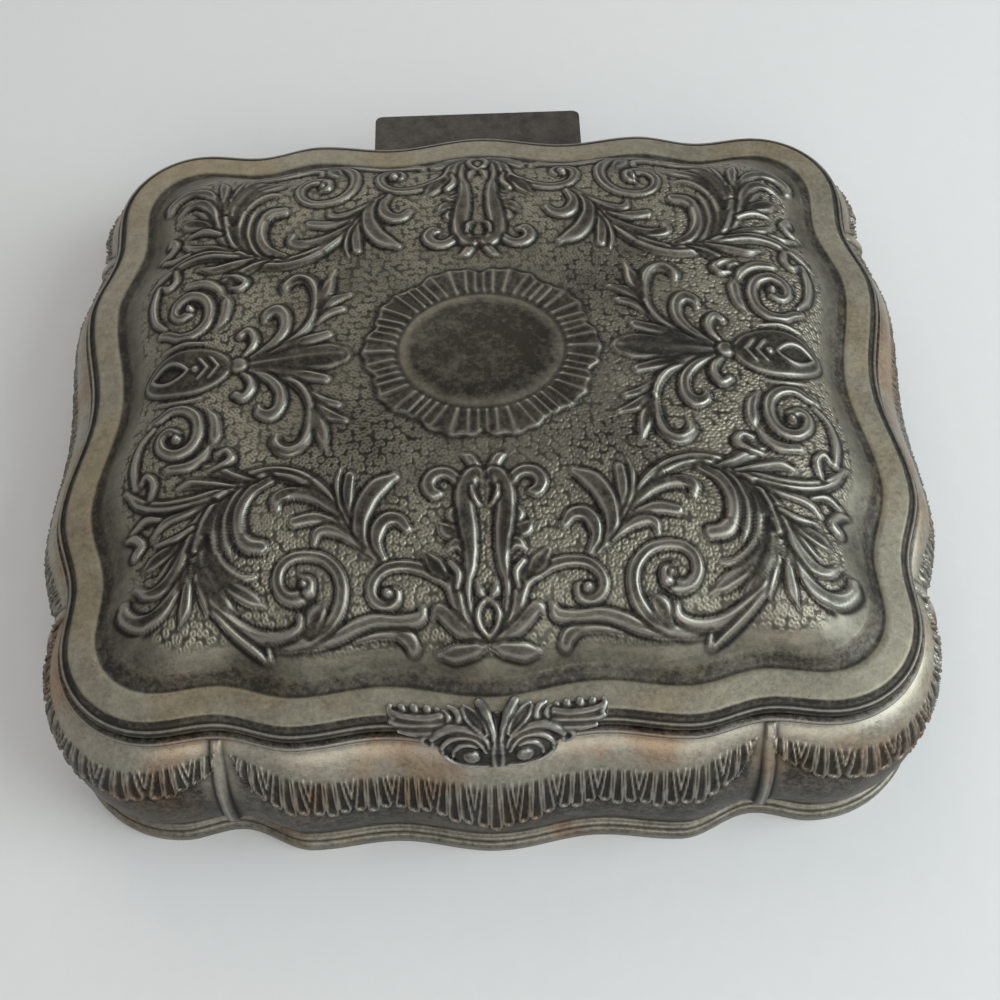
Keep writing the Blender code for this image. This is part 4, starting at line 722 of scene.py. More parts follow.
def pewter(name, tone, dark, light, cloud, speckle, grain, worn_and_shaded=False, punched=False,
           rubbed_highlight=RUBBED_HIGHLIGHT, metallic=0.85, tint=None, dull=0.0):
    """Antiqued metal: the patina group drives colour, roughness and a fine bump.

    tone is a number, or the name of a point mask; where worn_and_shaded is set, the masks
    edge and hollow drive it too: rubbed wear with a painted highlight on the edges, and
    patina with painted shade in the hollows.  tint is a colour that shows in patches, and a
    punched metal has marks by the masks ground and mark.
    """
    finish, tree, shader = node_material(name)

    def mask(label):
        return add_node(tree, "ShaderNodeAttribute", attribute_name=label).outputs["Fac"]

    drives = {"Tone": mask(tone) if isinstance(tone, str) else tone}
    if worn_and_shaded:
        drives.update({"Edge": mask("edge"), "Hollow": mask("hollow")})
    under = {}
    if punched:
        marks = grouped(tree, punch_marks, {
            "Ground": mask("ground"), "Away": mask("mark")}).outputs
        drives["Tone"] = sums(tree, "ADD", drives["Tone"], marks["Tone"])
        drives["Hollow"] = sums(tree, "MAXIMUM", drives["Hollow"], marks["Gap"])
        under = {"Normal": bump(tree, marks["Height"], 1.0, PUNCH_BUMP)}
    surface = grouped(tree, patina, {
        **drives, "Dark": (*dark, 1.0), "Light": (*light, 1.0), "Rubbed_Highlight": (*rubbed_highlight, 1.0),
        "Cloud": cloud, "Speckle": speckle, "Dull": dull}).outputs
    colour = surface["Color"]
    if tint:
        patches = noise(tree, object_place(tree), PATCH_SCALE, 3.0)
        patches = remap(tree, patches, 0.46, 0.64, 0.0, 0.58)
        colour = mix_colour(tree, patches, colour, tint, blend="MULTIPLY")
    plug(tree, shader, {
        "Base Color": colour, "Roughness": surface["Roughness"], "Metallic": metallic,
        "Normal": bump(tree, surface["Height"], grain, GRAIN_BUMP, **under)})
    return finish


# The lid's panel: a low dome with the ornament over a ground of round punch marks, and
# a plain oval reserve in a ruffled ring.  The casting is one piece; here it is four
# tiles of one surface, so that no mesh grows too large.
PANEL_INSET = 7.6 * MM
DOME_INSET = 9.4 * MM
PANEL_HEIGHT = 29.2 * MM
FLANK_SLOPE = 1.08
SHOULDER_RISE = 3.2 * MM
SHOULDER_WIDTH = 7.0 * MM
CROWN_RISE = 6.0 * MM
PANEL_STEPS = 310
PANEL_REACH_MM = 44.0
STAIN_MIDDLE = (19.0 * MM, 16.0 * MM)
STAIN_REACH = (9.0 * MM, 6.0 * MM)
RUBBED_HIGHLIGHT_LIFT = (0.13 * MM, 0.025 * MM)
GRIME_AND_SHADE_DEPTH = (0.075 * MM, 0.8 * MM)


def dome_rise(share):
    """Height over the dome's edge: a steep parabola at the edge carries a wide one.

    Past its edge the dome goes on as a straight flank.
    """
    span = PLAN_HALF_DEPTH - DOME_INSET
    share = np.asarray(share) * (PLAN_HALF_DEPTH - PANEL_INSET) / span
    past = np.clip(share - 1, 0, None) * span
    share = np.minimum(share, 1)
    into = unit((share - 1) * span / SHOULDER_WIDTH + 1)
    return SHOULDER_RISE * (1 - into ** 2) + CROWN_RISE * (1 - share ** 2) - FLANK_SLOPE * past


def panel_quarter():
    """Front right quarter of the dome on a grid of squares within squares.

    A point lies on the square of its larger coordinate; where it lies along that
    square gives its place along the outline, which turns into an ellipse further in.
    """
    steps = np.linspace(0, 1, PANEL_STEPS + 1)
    s, t = np.meshgrid(steps, steps, indexing="ij")
    share = np.maximum(s, t)
    safe = np.maximum(share, 1e-9)
    along = np.where(t >= s, corner_middle * s / safe,
                     quarter_length - (quarter_length - corner_middle) * t / safe)
    edge_x, edge_y = outline(-PANEL_INSET, along)
    width, depth = edge_x.max(), np.abs(edge_y).max()
    turn = np.arctan2(edge_y / depth, edge_x / width)
    oval_x, oval_y = width * np.cos(turn), depth * np.sin(turn)
    square = share ** 2
    x = (edge_x * square + oval_x * (1 - square)) * share
    y = (edge_y * square + oval_y * (1 - square)) * share
    return x, y, share


def whole(quarter, odd_x=False, odd_y=False):
    """Mirror a quarter's values into all four; odd ones change sign across that axis."""
    left = quarter[:0:-1] * (-1 if odd_x else 1)
    half = np.concatenate([left, quarter], axis=0)
    back = half[:, :0:-1] * (-1 if odd_y else 1)
    return np.concatenate([back, half], axis=1)


quarter_x, quarter_y, quarter_share = panel_quarter()
flat_x, flat_y = quarter_x.ravel(), -quarter_y.ravel()
relief, solid = np.zeros((2, flat_x.size))
for stroke in STROKES:
    stroke_relief(relief, solid, flat_x, flat_y, stroke)
pod_relief(relief, solid, flat_x, flat_y)
ring_masks = ring_relief(relief, solid, flat_x, flat_y)
edge_fade = soft_step(1 - quarter_share, 0.0, 0.012)
relief = soften(whole(relief.reshape(quarter_x.shape) * edge_fade), 1)
solid, reserve, on_ring, ring_highlights = (
    whole(mask.reshape(quarter_x.shape)) for mask in (solid, *ring_masks))
panel_x = whole(quarter_x, odd_x=True)
panel_y = whole(quarter_y, odd_y=True)
panel_share = whole(quarter_share)
from_edge_mm = (1 - panel_share) * PANEL_REACH_MM
smooth_edge = soft_step(from_edge_mm, 1.5, 2.4)
bare = (1 - soft_step(solid, 0.02, 0.25)) * smooth_edge
ground = bare * (1 - on_ring)
worn_middle = soft_step(panel_share, 0.75, 0.3)
punched = ground * (1 - 0.4 * worn_middle)
mark = nearest_mark(panel_x, panel_y)
punches = soft_step(mark, *PUNCH_DOME) - 0.5 * soft_step(mark, *PUNCH_DIMPLE)
panel_height = PANEL_HEIGHT + dome_rise(panel_share) + relief + PUNCH_RELIEF * punches * punched
panel_grid = np.stack([panel_x, panel_y, panel_height], axis=-1)
panel_normals = surface_normals(panel_grid, False)

# What stands over its own blur is pale, partly rubbed wear and partly a painted
# highlight, and what lies below it is dark, partly blackened patina and partly painted
# shade beside the raised forms; the wider the blur, the broader the form.
crests, lifted, narrow, broad = (relief - soften(relief, cells) for cells in (1, 4, 2, 9))
edges = (0.14 * unit(lifted / RUBBED_HIGHLIGHT_LIFT[0] - 0.25)
         + 0.4 * unit(crests / RUBBED_HIGHLIGHT_LIFT[1] - 0.5))
edges = edges * solid * (1 - 0.6 * on_ring) + 0.36 * ring_highlights
hollows = 0.85 * unit(-narrow / GRIME_AND_SHADE_DEPTH[0] - 0.12)
hollows = unit(hollows + np.clip(-broad / GRIME_AND_SHADE_DEPTH[1], 0, 0.16))
# The plain rim of the panel darkens where it turns down into the flank: painted shade.
shaded_panel_edge = soft_step(from_edge_mm, 1.9, 0.2)
stain = np.exp(-((np.abs(panel_x) - STAIN_MIDDLE[0]) / STAIN_REACH[0]) ** 2
               - ((np.abs(panel_y) - STAIN_MIDDLE[1]) / STAIN_REACH[1]) ** 2)
tone = (0.6 - 0.26 * worn_middle - 0.22 * stain) * ground
plain_tone = np.where(on_ring > 0.5, 0.46, 0.62 - 0.3 * shaded_panel_edge)
tone = tone + plain_tone * (1 - ground) * (1 - solid) * (1 - reserve)
# The raised ornament and the oval reserve take a dark tone, a painted dark reflection of their
# smooth metal.
tone = tone + 0.07 * solid + 0.05 * reserve
panel_finish = pewter("panel_metal", "tone", (0.03, 0.0275, 0.0225), (0.28, 0.26, 0.205),
                      0.5, 0.55, 0.4, worn_and_shaded=True, punched=True, rubbed_highlight=(0.42, 0.405, 0.355))
panel_masks = {"tone": tone, "edge": edges, "hollow": hollows, "ground": punched, "mark": mark}
low_half, high_half = slice(0, PANEL_STEPS + 1), slice(PANEL_STEPS, None)
for label, part in (
    ("front_right", (high_half, high_half)), ("front_left", (low_half, high_half)),
    ("back_right", (high_half, low_half)), ("back_left", (low_half, low_half)),
):
    tile = grid_piece("lid_panel_" + label, panel_grid[part], panel_finish, 1,
                      normals=panel_normals[part],
                      masks={mask: values[part] for mask, values in panel_masks.items()})
    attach(tile, "lid")
    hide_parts("lid_shell")


# The lid's edge: a flank that falls from the panel, a wide plain border, a rolled bead
# over a dark groove, and the lip that meets the body.  Cast in one with the panel.
RIM_COLUMNS = 300
RIM_STEP = 0.2 * MM
GROOVE_HEIGHT_MM = 23.93
BORDER_FOOT_MM = -5.65
LID_EDGE_PROFILE_MM = (
    (-7.75, 27.3), (-7.6, 27.25), (-6.8, 26.4), (-6.1, 25.86), (-5.6, 25.7), (-5.46, 25.82),
    (-5.3, 25.95), (-4.8, 25.92), (-1.75, 25.45),
    (-1.55, 25.3), (-1.42, 25.05), (-1.25, 24.8), (-1.0, 24.58), (-0.75, 24.46), (-0.6, 24.42),
    (-0.46, 24.56), (-0.3, 24.58), (-0.16, 24.42), (-0.1, 24.15), (-0.24, 23.92), (-0.05, 23.72),
    (0.0, 23.4), (-0.06, 23.0), (-2.1, 23.0), (-2.2, 23.1), (-2.2, 24.0),
)


def walk_profile(points, step):
    """Section resampled at even steps along its length, with its corners just rounded."""
    points = np.array(points)
    lengths = np.hypot(*np.diff(points, axis=0).T)
    travelled = np.concatenate([[0], np.cumsum(lengths)])
    places = np.linspace(0, travelled[-1], int(travelled[-1] / step) + 1)
    path = np.stack([np.interp(places, travelled, points[:, k]) for k in (0, 1)], axis=1)
    path[1:-1] = (path[:-2] + 2 * path[1:-1] + path[2:]) / 4
    return path


def loop_grid(rows, columns):
    """Rows of (offset, height, deepening) carried once round the plan, front right first."""
    along = np.linspace(0, quarter_length, columns + 1)
    places = np.concatenate([along, along[-2::-1], along[1:], along[-2:0:-1]])
    counts = [columns + 1, columns, columns, columns - 1]
    side_x, side_y = np.repeat([1, 1, -1, -1], counts), np.repeat([1, -1, -1, 1], counts)
    offset, height, deepening = (np.array(part)[:, None] for part in zip(*rows))
    x, y = outline(offset, places[None, :], deepening)
    return np.stack([x * side_x, y * side_y, np.broadcast_to(height, x.shape)], axis=-1), places


def outwards(grid):
    """Unit directions from the box's middle to a grid's points, as x and y."""
    return grid[..., :2] / np.linalg.norm(grid[..., :2], axis=2, keepdims=True)


edge_path = walk_profile(np.array(LID_EDGE_PROFILE_MM) * MM, RIM_STEP)
edge_grid, _ = loop_grid([(offset, height, 0.0) for offset, height in edge_path], RIM_COLUMNS)
offset, height = edge_path[:, :1] / MM, edge_path[:, 1:] / MM
on_border = soft_step(-offset, 1.5, 1.72) * soft_step(offset, -5.6, -5.4)
on_flank = soft_step(-offset, 5.4, 5.6)
on_bead = soft_step(-offset, 0.56, 0.48) * soft_step(height, 24.3, 24.45)
on_lip = soft_step(-offset, 0.3, 0.1) * soft_step(height, 23.7, 23.6) * (height > 22.9)
groove = soft_step(-offset, 0.5, 0.6) * soft_step(-offset, 1.1, 0.8) * (height > 23.9)
undercut = soft_step(np.abs(height - GROOVE_HEIGHT_MM), 0.16, 0.05) * (offset > -0.5)
# The flank darkens towards its foot as painted shade, and the band between border and bead stays
# dark as a painted dark reflection.
edge_tone = (0.8 * on_border + (0.1 + 0.22 * soft_step(-offset, 6.6, 7.6)) * on_flank
             + 0.22 * on_bead + 0.16 * on_lip
             + 0.07 * (1 - np.maximum.reduce([on_border, on_flank, on_bead])))
spread = np.ones((1, edge_grid.shape[1]))
edge_finish = pewter("rim_metal", "tone", (0.03, 0.0275, 0.0235), (0.27, 0.25, 0.19),
                     0.62, 0.85, 0.4, worn_and_shaded=True, metallic=0.7, dull=0.08,
                     tint=(0.95, 0.82, 0.66))
edge_normals = surface_normals(edge_grid, True)
edge_normals[:2] = edge_normals[2]
# A painted highlight runs along the bead's crest; the groove, the undercut and the line at the
# border's foot are painted shade.
edge_masks = {
    "tone": edge_tone,
    "edge": 0.45 * on_bead * soft_step(height, 24.48, 24.56),
    "hollow": (0.8 * np.maximum(groove, undercut)
               + 0.35 * soft_step(np.abs(offset - BORDER_FOOT_MM), 0.4, 0.1)),
}
lid_edge = grid_piece("lid_edge", edge_grid, edge_finish, -1, closed=True, normals=edge_normals,
                      masks={mask: values * spread for mask, values in edge_masks.items()})
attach(lid_edge, "lid")
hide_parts("lid_shell")


# The lid from below: a plain cast face round the lining board, hollow under the dome.
# It follows the panel's dome, a wall's thickness lower.
LID_INSIDE_MM = ((-2.2, 24.0), (-5.0, 24.4), (-8.0, 24.8), (-10.8, 27.8))
INSIDE_SHARES = (0.93, 0.84, 0.7, 0.5, 0.25, 0.04)
INSIDE_COLUMNS = 120
PEWTER_DARK, PEWTER_LIGHT = (0.05, 0.049, 0.046), (0.3, 0.29, 0.26)

inside_rows = [(offset * MM, height * MM, 0.0) for offset, height in LID_INSIDE_MM]
inside_grid, _ = loop_grid(inside_rows, INSIDE_COLUMNS)
inner_edge = inside_grid[-1]
edge_share = (PLAN_HALF_DEPTH - DOME_INSET) / (PLAN_HALF_DEPTH - PANEL_INSET)
rises = (LID_INSIDE_MM[-1][1] * MM + dome_rise(edge_share * share) for share in INSIDE_SHARES)
domes = [np.column_stack([inner_edge[:, :2] * share, np.full(len(inner_edge), rise)])
         for share, rise in zip(INSIDE_SHARES, rises)]
inside_grid = np.concatenate([inside_grid, np.stack(domes)])
inside_grid = np.concatenate([inside_grid, np.broadcast_to(
    inside_grid[-1:].mean(axis=1, keepdims=True), inside_grid[-1:].shape)])
inside_finish = pewter("inside_metal", 0.35, PEWTER_DARK, PEWTER_LIGHT, 0.4, 0.4, 0.4)
lid_inside = grid_piece("lid_inside", inside_grid, inside_finish, -1, closed=True)
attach(lid_inside, "lid")
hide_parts("lid_shell")


# The body's wall: a bombe casting with ribs at its notches.  Between the ribs hangs a
# swag of fingers, each a hollow in a thin raised outline, and below it the wall is
# plain down to the beaded, stepped foot.  Four tiles of one surface.
NECK_HEIGHT = 21.5 * MM
NECK_REACH = 0.5 * MM
BELLY_HEIGHT = 7.0 * MM
BELLY_REACH = 7.9 * MM
BELLY_ROUNDNESS = 1.6
WALL_COLUMNS = 520
WALL_STEP = 0.185 * MM
RIB_HEIGHT = 0.9 * MM
FOOT_TOP = 3.2 * MM
FOOT_PLAN_TOP = 2.7 * MM
FOOT_GROOVE = 8.3 * MM
MOULDING_PROFILE_MM = ((-2.0, 22.7), (0.35, 22.7), (0.78, 22.5), (0.9, 22.2), (0.86, 21.9),
                       (0.6, 21.68))
FOOT_PROFILE_MM = (
    (7.62, 4.8), (7.35, 3.7), (7.2, 3.05), (7.45, 2.72), (7.9, 2.66), (8.2, 2.5), (8.25, 2.2),
    (8.36, 2.12), (8.55, 2.2), (8.85, 1.95), (9.06, 1.62), (9.1, 1.3), (9.1, 0.0),
)
FRONT_SWAG_MM = (  # place from the panel's middle, lower edge, upper edge
    (0.0, 9.0, 18.7), (2.5, 9.3, 18.6), (5.0, 10.5, 18.5), (9.0, 11.6, 18.4), (15.0, 12.0, 18.2),
    (20.0, 11.8, 18.2), (25.4, 12.3, 18.9), (29.6, 13.2, 19.8), (31.8, 14.2, 20.1),
    (33.2, 15.2, 20.2), (34.3, 16.6, 20.3), (35.4, 18.6, 20.4), (36.6, 20.4, 20.5),
)
CORNER_SWAG_MM = (
    (0.0, 12.8, 18.8), (2.5, 12.9, 18.8), (5.4, 13.4, 19.0), (8.5, 14.3, 19.6), (11.5, 15.3, 19.9),
    (14.2, 16.1, 20.0), (16.3, 17.2, 20.2), (17.6, 18.5, 20.4), (18.3, 20.4, 20.6),
)
SIDE_SWAG_MM = (
    (0.0, 12.6, 18.7), (5.0, 12.7, 18.5), (10.0, 12.9, 18.4), (20.0, 13.2, 18.3),
    (27.0, 14.0, 19.2), (31.8, 15.2, 20.1), (34.3, 16.8, 20.3), (35.4, 18.6, 20.4),
    (36.6, 20.4, 20.5),
)
FINGER_GROUP = 5.7 * MM
FINGER_RIDGE = 0.3 * MM
FINGER_HOLLOW = 0.2 * MM
FINGER_GAP = 0.2 * MM
FINGER_FAN_MM = (1.22, 0.62)
FINGER_WIDTH_MM = (0.46, 0.42)
VEE_REACH = 0.62 * MM
VEE_WIDTH = 0.15 * MM
PLINTH_RISE = 0.3 * MM
RIB_HALF_WIDTH_MM = (0.8, 0.3)
RIB_CREASE = 0.45 * MM
RIB_SHINE = 0.28 * MM
FILLET_RISE = 0.55 * MM
FILLET_REACH = 1.6 * MM
SIDE_LIFT = 1.6 * MM
LEAF_NOTCH_HALF = 18.3 * MM
LEAF_NOTCH_FLOOR = 21.5 * MM


def shoulder(height):
    """Reach of the wall above the belly, on a superellipse from neck to belly."""
    climb = unit((height - BELLY_HEIGHT) / (NECK_HEIGHT - BELLY_HEIGHT))
    span = (1 - climb ** BELLY_ROUNDNESS) ** (1 / BELLY_ROUNDNESS)
    return NECK_REACH + (BELLY_REACH - NECK_REACH) * span


def wall_profile():
    """The wall's section as (offset, height): moulding, neck, shoulder, belly and foot."""
    climb = np.sin(np.linspace(np.pi / 2, 0, 60))
    heights = BELLY_HEIGHT + (NECK_HEIGHT - BELLY_HEIGHT) * climb
    middle = np.stack([shoulder(heights), heights], axis=1)
    return np.concatenate([np.array(MOULDING_PROFILE_MM) * MM, middle,
                           np.array(FOOT_PROFILE_MM) * MM])


def fingers(across, drop):
    """Height and masks of the hanging fingers, in groups of three that fan out.

    across runs from the panel's middle and drop from 0 at the top of the swag to 1 at
    its lower edge.  A finger is a long drop shape with a raised outline; between two
    groups hangs a small V.
    """
    group = np.round(across / FINGER_GROUP)
    local = across - group * FINGER_GROUP
    fan = (FINGER_FAN_MM[0] + FINGER_FAN_MM[1] * unit(drop)) * MM
    finger = np.clip(np.round(local / fan), -1, 1)
    offset = local - finger * fan
    width = (FINGER_WIDTH_MM[0] + FINGER_WIDTH_MM[1] * unit(drop) ** 1.3) * MM
    end = 0.86 + 0.1 * (1 - np.abs(finger))
    inside = np.hypot(offset / width, np.clip((drop - end) / 0.12, 0, 3))
    line = bell(inside - 0.84, 0.16) * soft_step(drop, -0.02, 0.3)
    hollow = soft_step(inside, 0.75, 0.4) * soft_step(drop, 0.02, 0.2)
    apart = np.abs(np.abs(local) - FINGER_GROUP / 2)
    reach = VEE_REACH * unit(1 - drop / 0.55)
    vee = bell(apart - reach, VEE_WIDTH) * soft_step(drop, 0.0, 0.12) * (
        1 - soft_step(drop, 0.5, 0.62))
    gap = soft_step(inside, 1.05, 1.3) * soft_step(drop, 0.05, 0.25) * (1 - vee)
    body = np.maximum(soft_step(inside, 1.12, 0.98), soft_step(drop, 0.9, 0.84))
    return np.maximum(line, 0.8 * vee), hollow, gap, body


def deepened(profile, foot_top):
    """Section with the plan's deepening at each point: none at the top, full in the foot."""
    return [(offset, height, float(unit(1 - height / BODY_TOP)) if height > foot_top
             else 1.0) for offset, height in profile]


def notched(grid):
    """Grid cut down to the seat of the hinge at the middle of the back."""
    in_notch = (np.abs(grid[..., 0]) < LEAF_NOTCH_HALF) & (grid[..., 1] > 0)
    grid[..., 2] = np.where(in_notch, np.minimum(grid[..., 2], LEAF_NOTCH_FLOOR), grid[..., 2])
    return grid


wall_path = walk_profile(wall_profile(), WALL_STEP)
wall_grid, wall_places = loop_grid(deepened(wall_path, FOOT_PLAN_TOP), WALL_COLUMNS)
heights = np.broadcast_to(wall_path[:, 1][:, None], wall_grid.shape[:2])
places = np.broadcast_to(wall_places[None, :], heights.shape)
rib_near = np.minimum(np.abs(places - rib_places[0]), np.abs(places - rib_places[1]))
corner_panel = (places > rib_places[0]) & (places < rib_places[1])
front_panel = places <= rib_places[0]
side_reach = (quarter_length - places) * rib_places[0] / (quarter_length - rib_places[1])
across = np.where(corner_panel, places - (rib_places[0] + rib_places[1]) / 2,
                  np.where(front_panel, places, side_reach))
swags = [np.array(swag).T * MM for swag in (FRONT_SWAG_MM, CORNER_SWAG_MM, SIDE_SWAG_MM)]
panels = [front_panel, corner_panel]
low_edge, high_edge = (
    np.select(panels, [np.interp(np.abs(across), swag[0], swag[k]) for swag in swags[:2]],
              np.interp(np.abs(across), swags[2][0], swags[2][k])) for k in (1, 2))
low_edge = low_edge + SIDE_LIFT * corner_panel * soft_step(across, 0, 12 * MM) * soft_step(
    rib_near, 0, 5 * MM)
drop = (high_edge - heights) / np.maximum(high_edge - low_edge, 0.3 * MM)
open_swag = soft_step(high_edge - low_edge, 0.4 * MM, 1.6 * MM)
line, hollow, gap, body = fingers(across, drop)
in_swag = open_swag * soft_step(drop, -0.04, 0.04)
on_shoulder = (heights < NECK_HEIGHT) & (wall_path[:, :1] > NECK_REACH * 0.9)
plinth = PLINTH_RISE * body * in_swag * soft_step(drop, 0.0, 0.6)
under = -PLINTH_RISE * (1 - body) * np.exp(-np.clip(drop - 0.95, 0, 9) / 0.16) * in_swag
drawn = (FINGER_RIDGE * line - FINGER_HOLLOW * hollow * body - FINGER_GAP * gap * body) * in_swag
rib_width = (RIB_HALF_WIDTH_MM[0]
             + RIB_HALF_WIDTH_MM[1] * unit(1 - heights / NECK_HEIGHT)) * MM
rib_share = unit(rib_near / rib_width)
rib_form = np.sqrt(1 - rib_share ** 2) * (1 - 0.22 * bell(rib_near, RIB_CREASE))
rib_fade = soft_step(heights, 2.8 * MM, 7.0 * MM) * soft_step(heights, 21.8 * MM, 21.3 * MM)
rib_fade = rib_fade * (0.45 + 0.55 * soft_step(heights, 21.0 * MM, 12.0 * MM))
fillet = FILLET_RISE * np.exp(-unit(rib_near - rib_width) / FILLET_REACH) * soft_step(
    heights, FOOT_PLAN_TOP, 6.0 * MM) * soft_step(heights, 19.0 * MM, 14.0 * MM)
fillet = fillet * (1 - in_swag * body)
rise = np.where(on_shoulder, plinth + under + drawn + fillet, 0.0)
rise = rise + RIB_HEIGHT * rib_form * rib_fade
wall_normals = surface_normals(wall_grid, True)
outward = np.sign((wall_normals * wall_grid * [1, 1, 0]).sum())
wall_grid = notched(wall_grid + outward * wall_normals * rise[..., None])
wall_normals = surface_normals(wall_grid, True)

# The top of the wall is pale, copper shows through in patches, and the hollows between
# the fingers and in the steps of the foot are dark.  Raised crests are pale, partly
# rubbed wear and partly a painted highlight; the dark lines along the ribs are painted
# shade.
lifted = rise - soften(rise, 4)
wall_edge = 0.38 * unit(lifted / (0.1 * MM) - 0.25)
wall_hollow = 0.55 * unit(-lifted / (0.13 * MM))
# Below the swag the plain wall is dark: a painted dark reflection of its smooth metal.
below = soft_step(drop, 0.95, 1.05) * soft_step(heights, FOOT_TOP, 3.6 * MM)
pale_top = soft_step(drop, 0.6, -0.15)
# Beside the ribs the upper wall pales with height: painted light on the fillets there.
lit_by_rib = soft_step(rib_near, 3.4 * MM, 1.2 * MM)
pale_top = pale_top * (1 - lit_by_rib) + lit_by_rib * soft_step(heights, 9.0 * MM, 20.5 * MM)
wall_tone = 0.84 * pale_top + 0.12 * below + 0.22 * (1 - pale_top) * (1 - below)
# Below the swag, painted light on the fillets beside the ribs.
wall_tone = wall_tone + 0.18 * np.exp(-unit(rib_near - rib_width) / (1.4 * MM)) * below
wall_tone = np.where(heights < FOOT_TOP, 0.46, wall_tone)
# The rib is darkened as painted shade.
on_rib = soft_step(rib_near, 1.25 * rib_width, 0.9 * rib_width)
wall_tone = wall_tone * (1 - 0.5 * on_rib * rib_fade)
wall_edge = wall_edge * (1 - 0.75 * on_rib)
moulding = soft_step(heights, 21.6 * MM, 21.72 * MM)
wall_tone = wall_tone * (1 - moulding) + 0.12 * moulding
# A painted highlight along the moulding's crest.
wall_edge = wall_edge + 0.45 * soft_step(np.abs(heights - 22.42 * MM), 0.2 * MM, 0.08 * MM)
foot_groove = bell(wall_path[:, :1] - FOOT_GROOVE, 0.13 * MM)
foot_groove = foot_groove * (heights < 2.4 * MM)
wall_hollow = unit(wall_hollow + 0.9 * foot_groove
                      + 0.5 * soft_step(np.abs(heights - 3.1 * MM), 0.5 * MM, 0.1 * MM))
# Painted shade along the rib's sides and a painted highlight down its crest.
rib_side_shade = bell(rib_near - 1.15 * rib_width, 0.3 * MM) * rib_fade
wall_hollow = unit(wall_hollow + 0.2 * (hollow + gap) * in_swag * body + 0.6 * rib_side_shade)
wall_edge = wall_edge + 0.4 * bell(rib_near, RIB_SHINE) * rib_fade
wall_finish = pewter("wall_metal", "tone", (0.035, 0.032, 0.0275), (0.35, 0.325, 0.265),
                     0.5, 0.95, 0.45, worn_and_shaded=True, tint=(0.88, 0.56, 0.36))
wall_masks = {"tone": wall_tone, "edge": wall_edge, "hollow": wall_hollow}
for turn, label in enumerate(("front_right", "back_right", "back_left", "front_left")):
    columns = np.arange(turn * WALL_COLUMNS, (turn + 1) * WALL_COLUMNS + 1) % wall_grid.shape[1]
    tile = grid_piece("wall_" + label, wall_grid[:, columns], wall_finish, -1,
                      normals=wall_normals[:, columns],
                      masks={mask: values[:, columns] for mask, values in wall_masks.items()})
    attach(tile, "base")
    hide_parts("body_shell")


# The inside of the body: the cast wall behind its lining, and the rebate in the foot
# that takes the plate and the felt.
INSIDE_WALL_MM = (
    (9.1, 0.0), (6.4, 0.0), (6.4, 2.4), (4.9, 2.4), (4.9, 3.5), (6.2, 7.0), (5.9, 9.5), (5.1, 13.0),
    (3.7, 16.5), (2.0, 19.2), (0.4, 20.9), (-1.9, 21.45), (-2.0, 21.6), (-2.0, 22.7),
)
INSIDE_PLAN_TOP = 3.6 * MM

inside_grid, _ = loop_grid(deepened(np.array(INSIDE_WALL_MM) * MM, INSIDE_PLAN_TOP),
                           INSIDE_COLUMNS)
wall_inside = grid_piece("wall_inside", notched(inside_grid), inside_finish, -1, closed=True)
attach(wall_inside, "base")
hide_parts("body_shell")


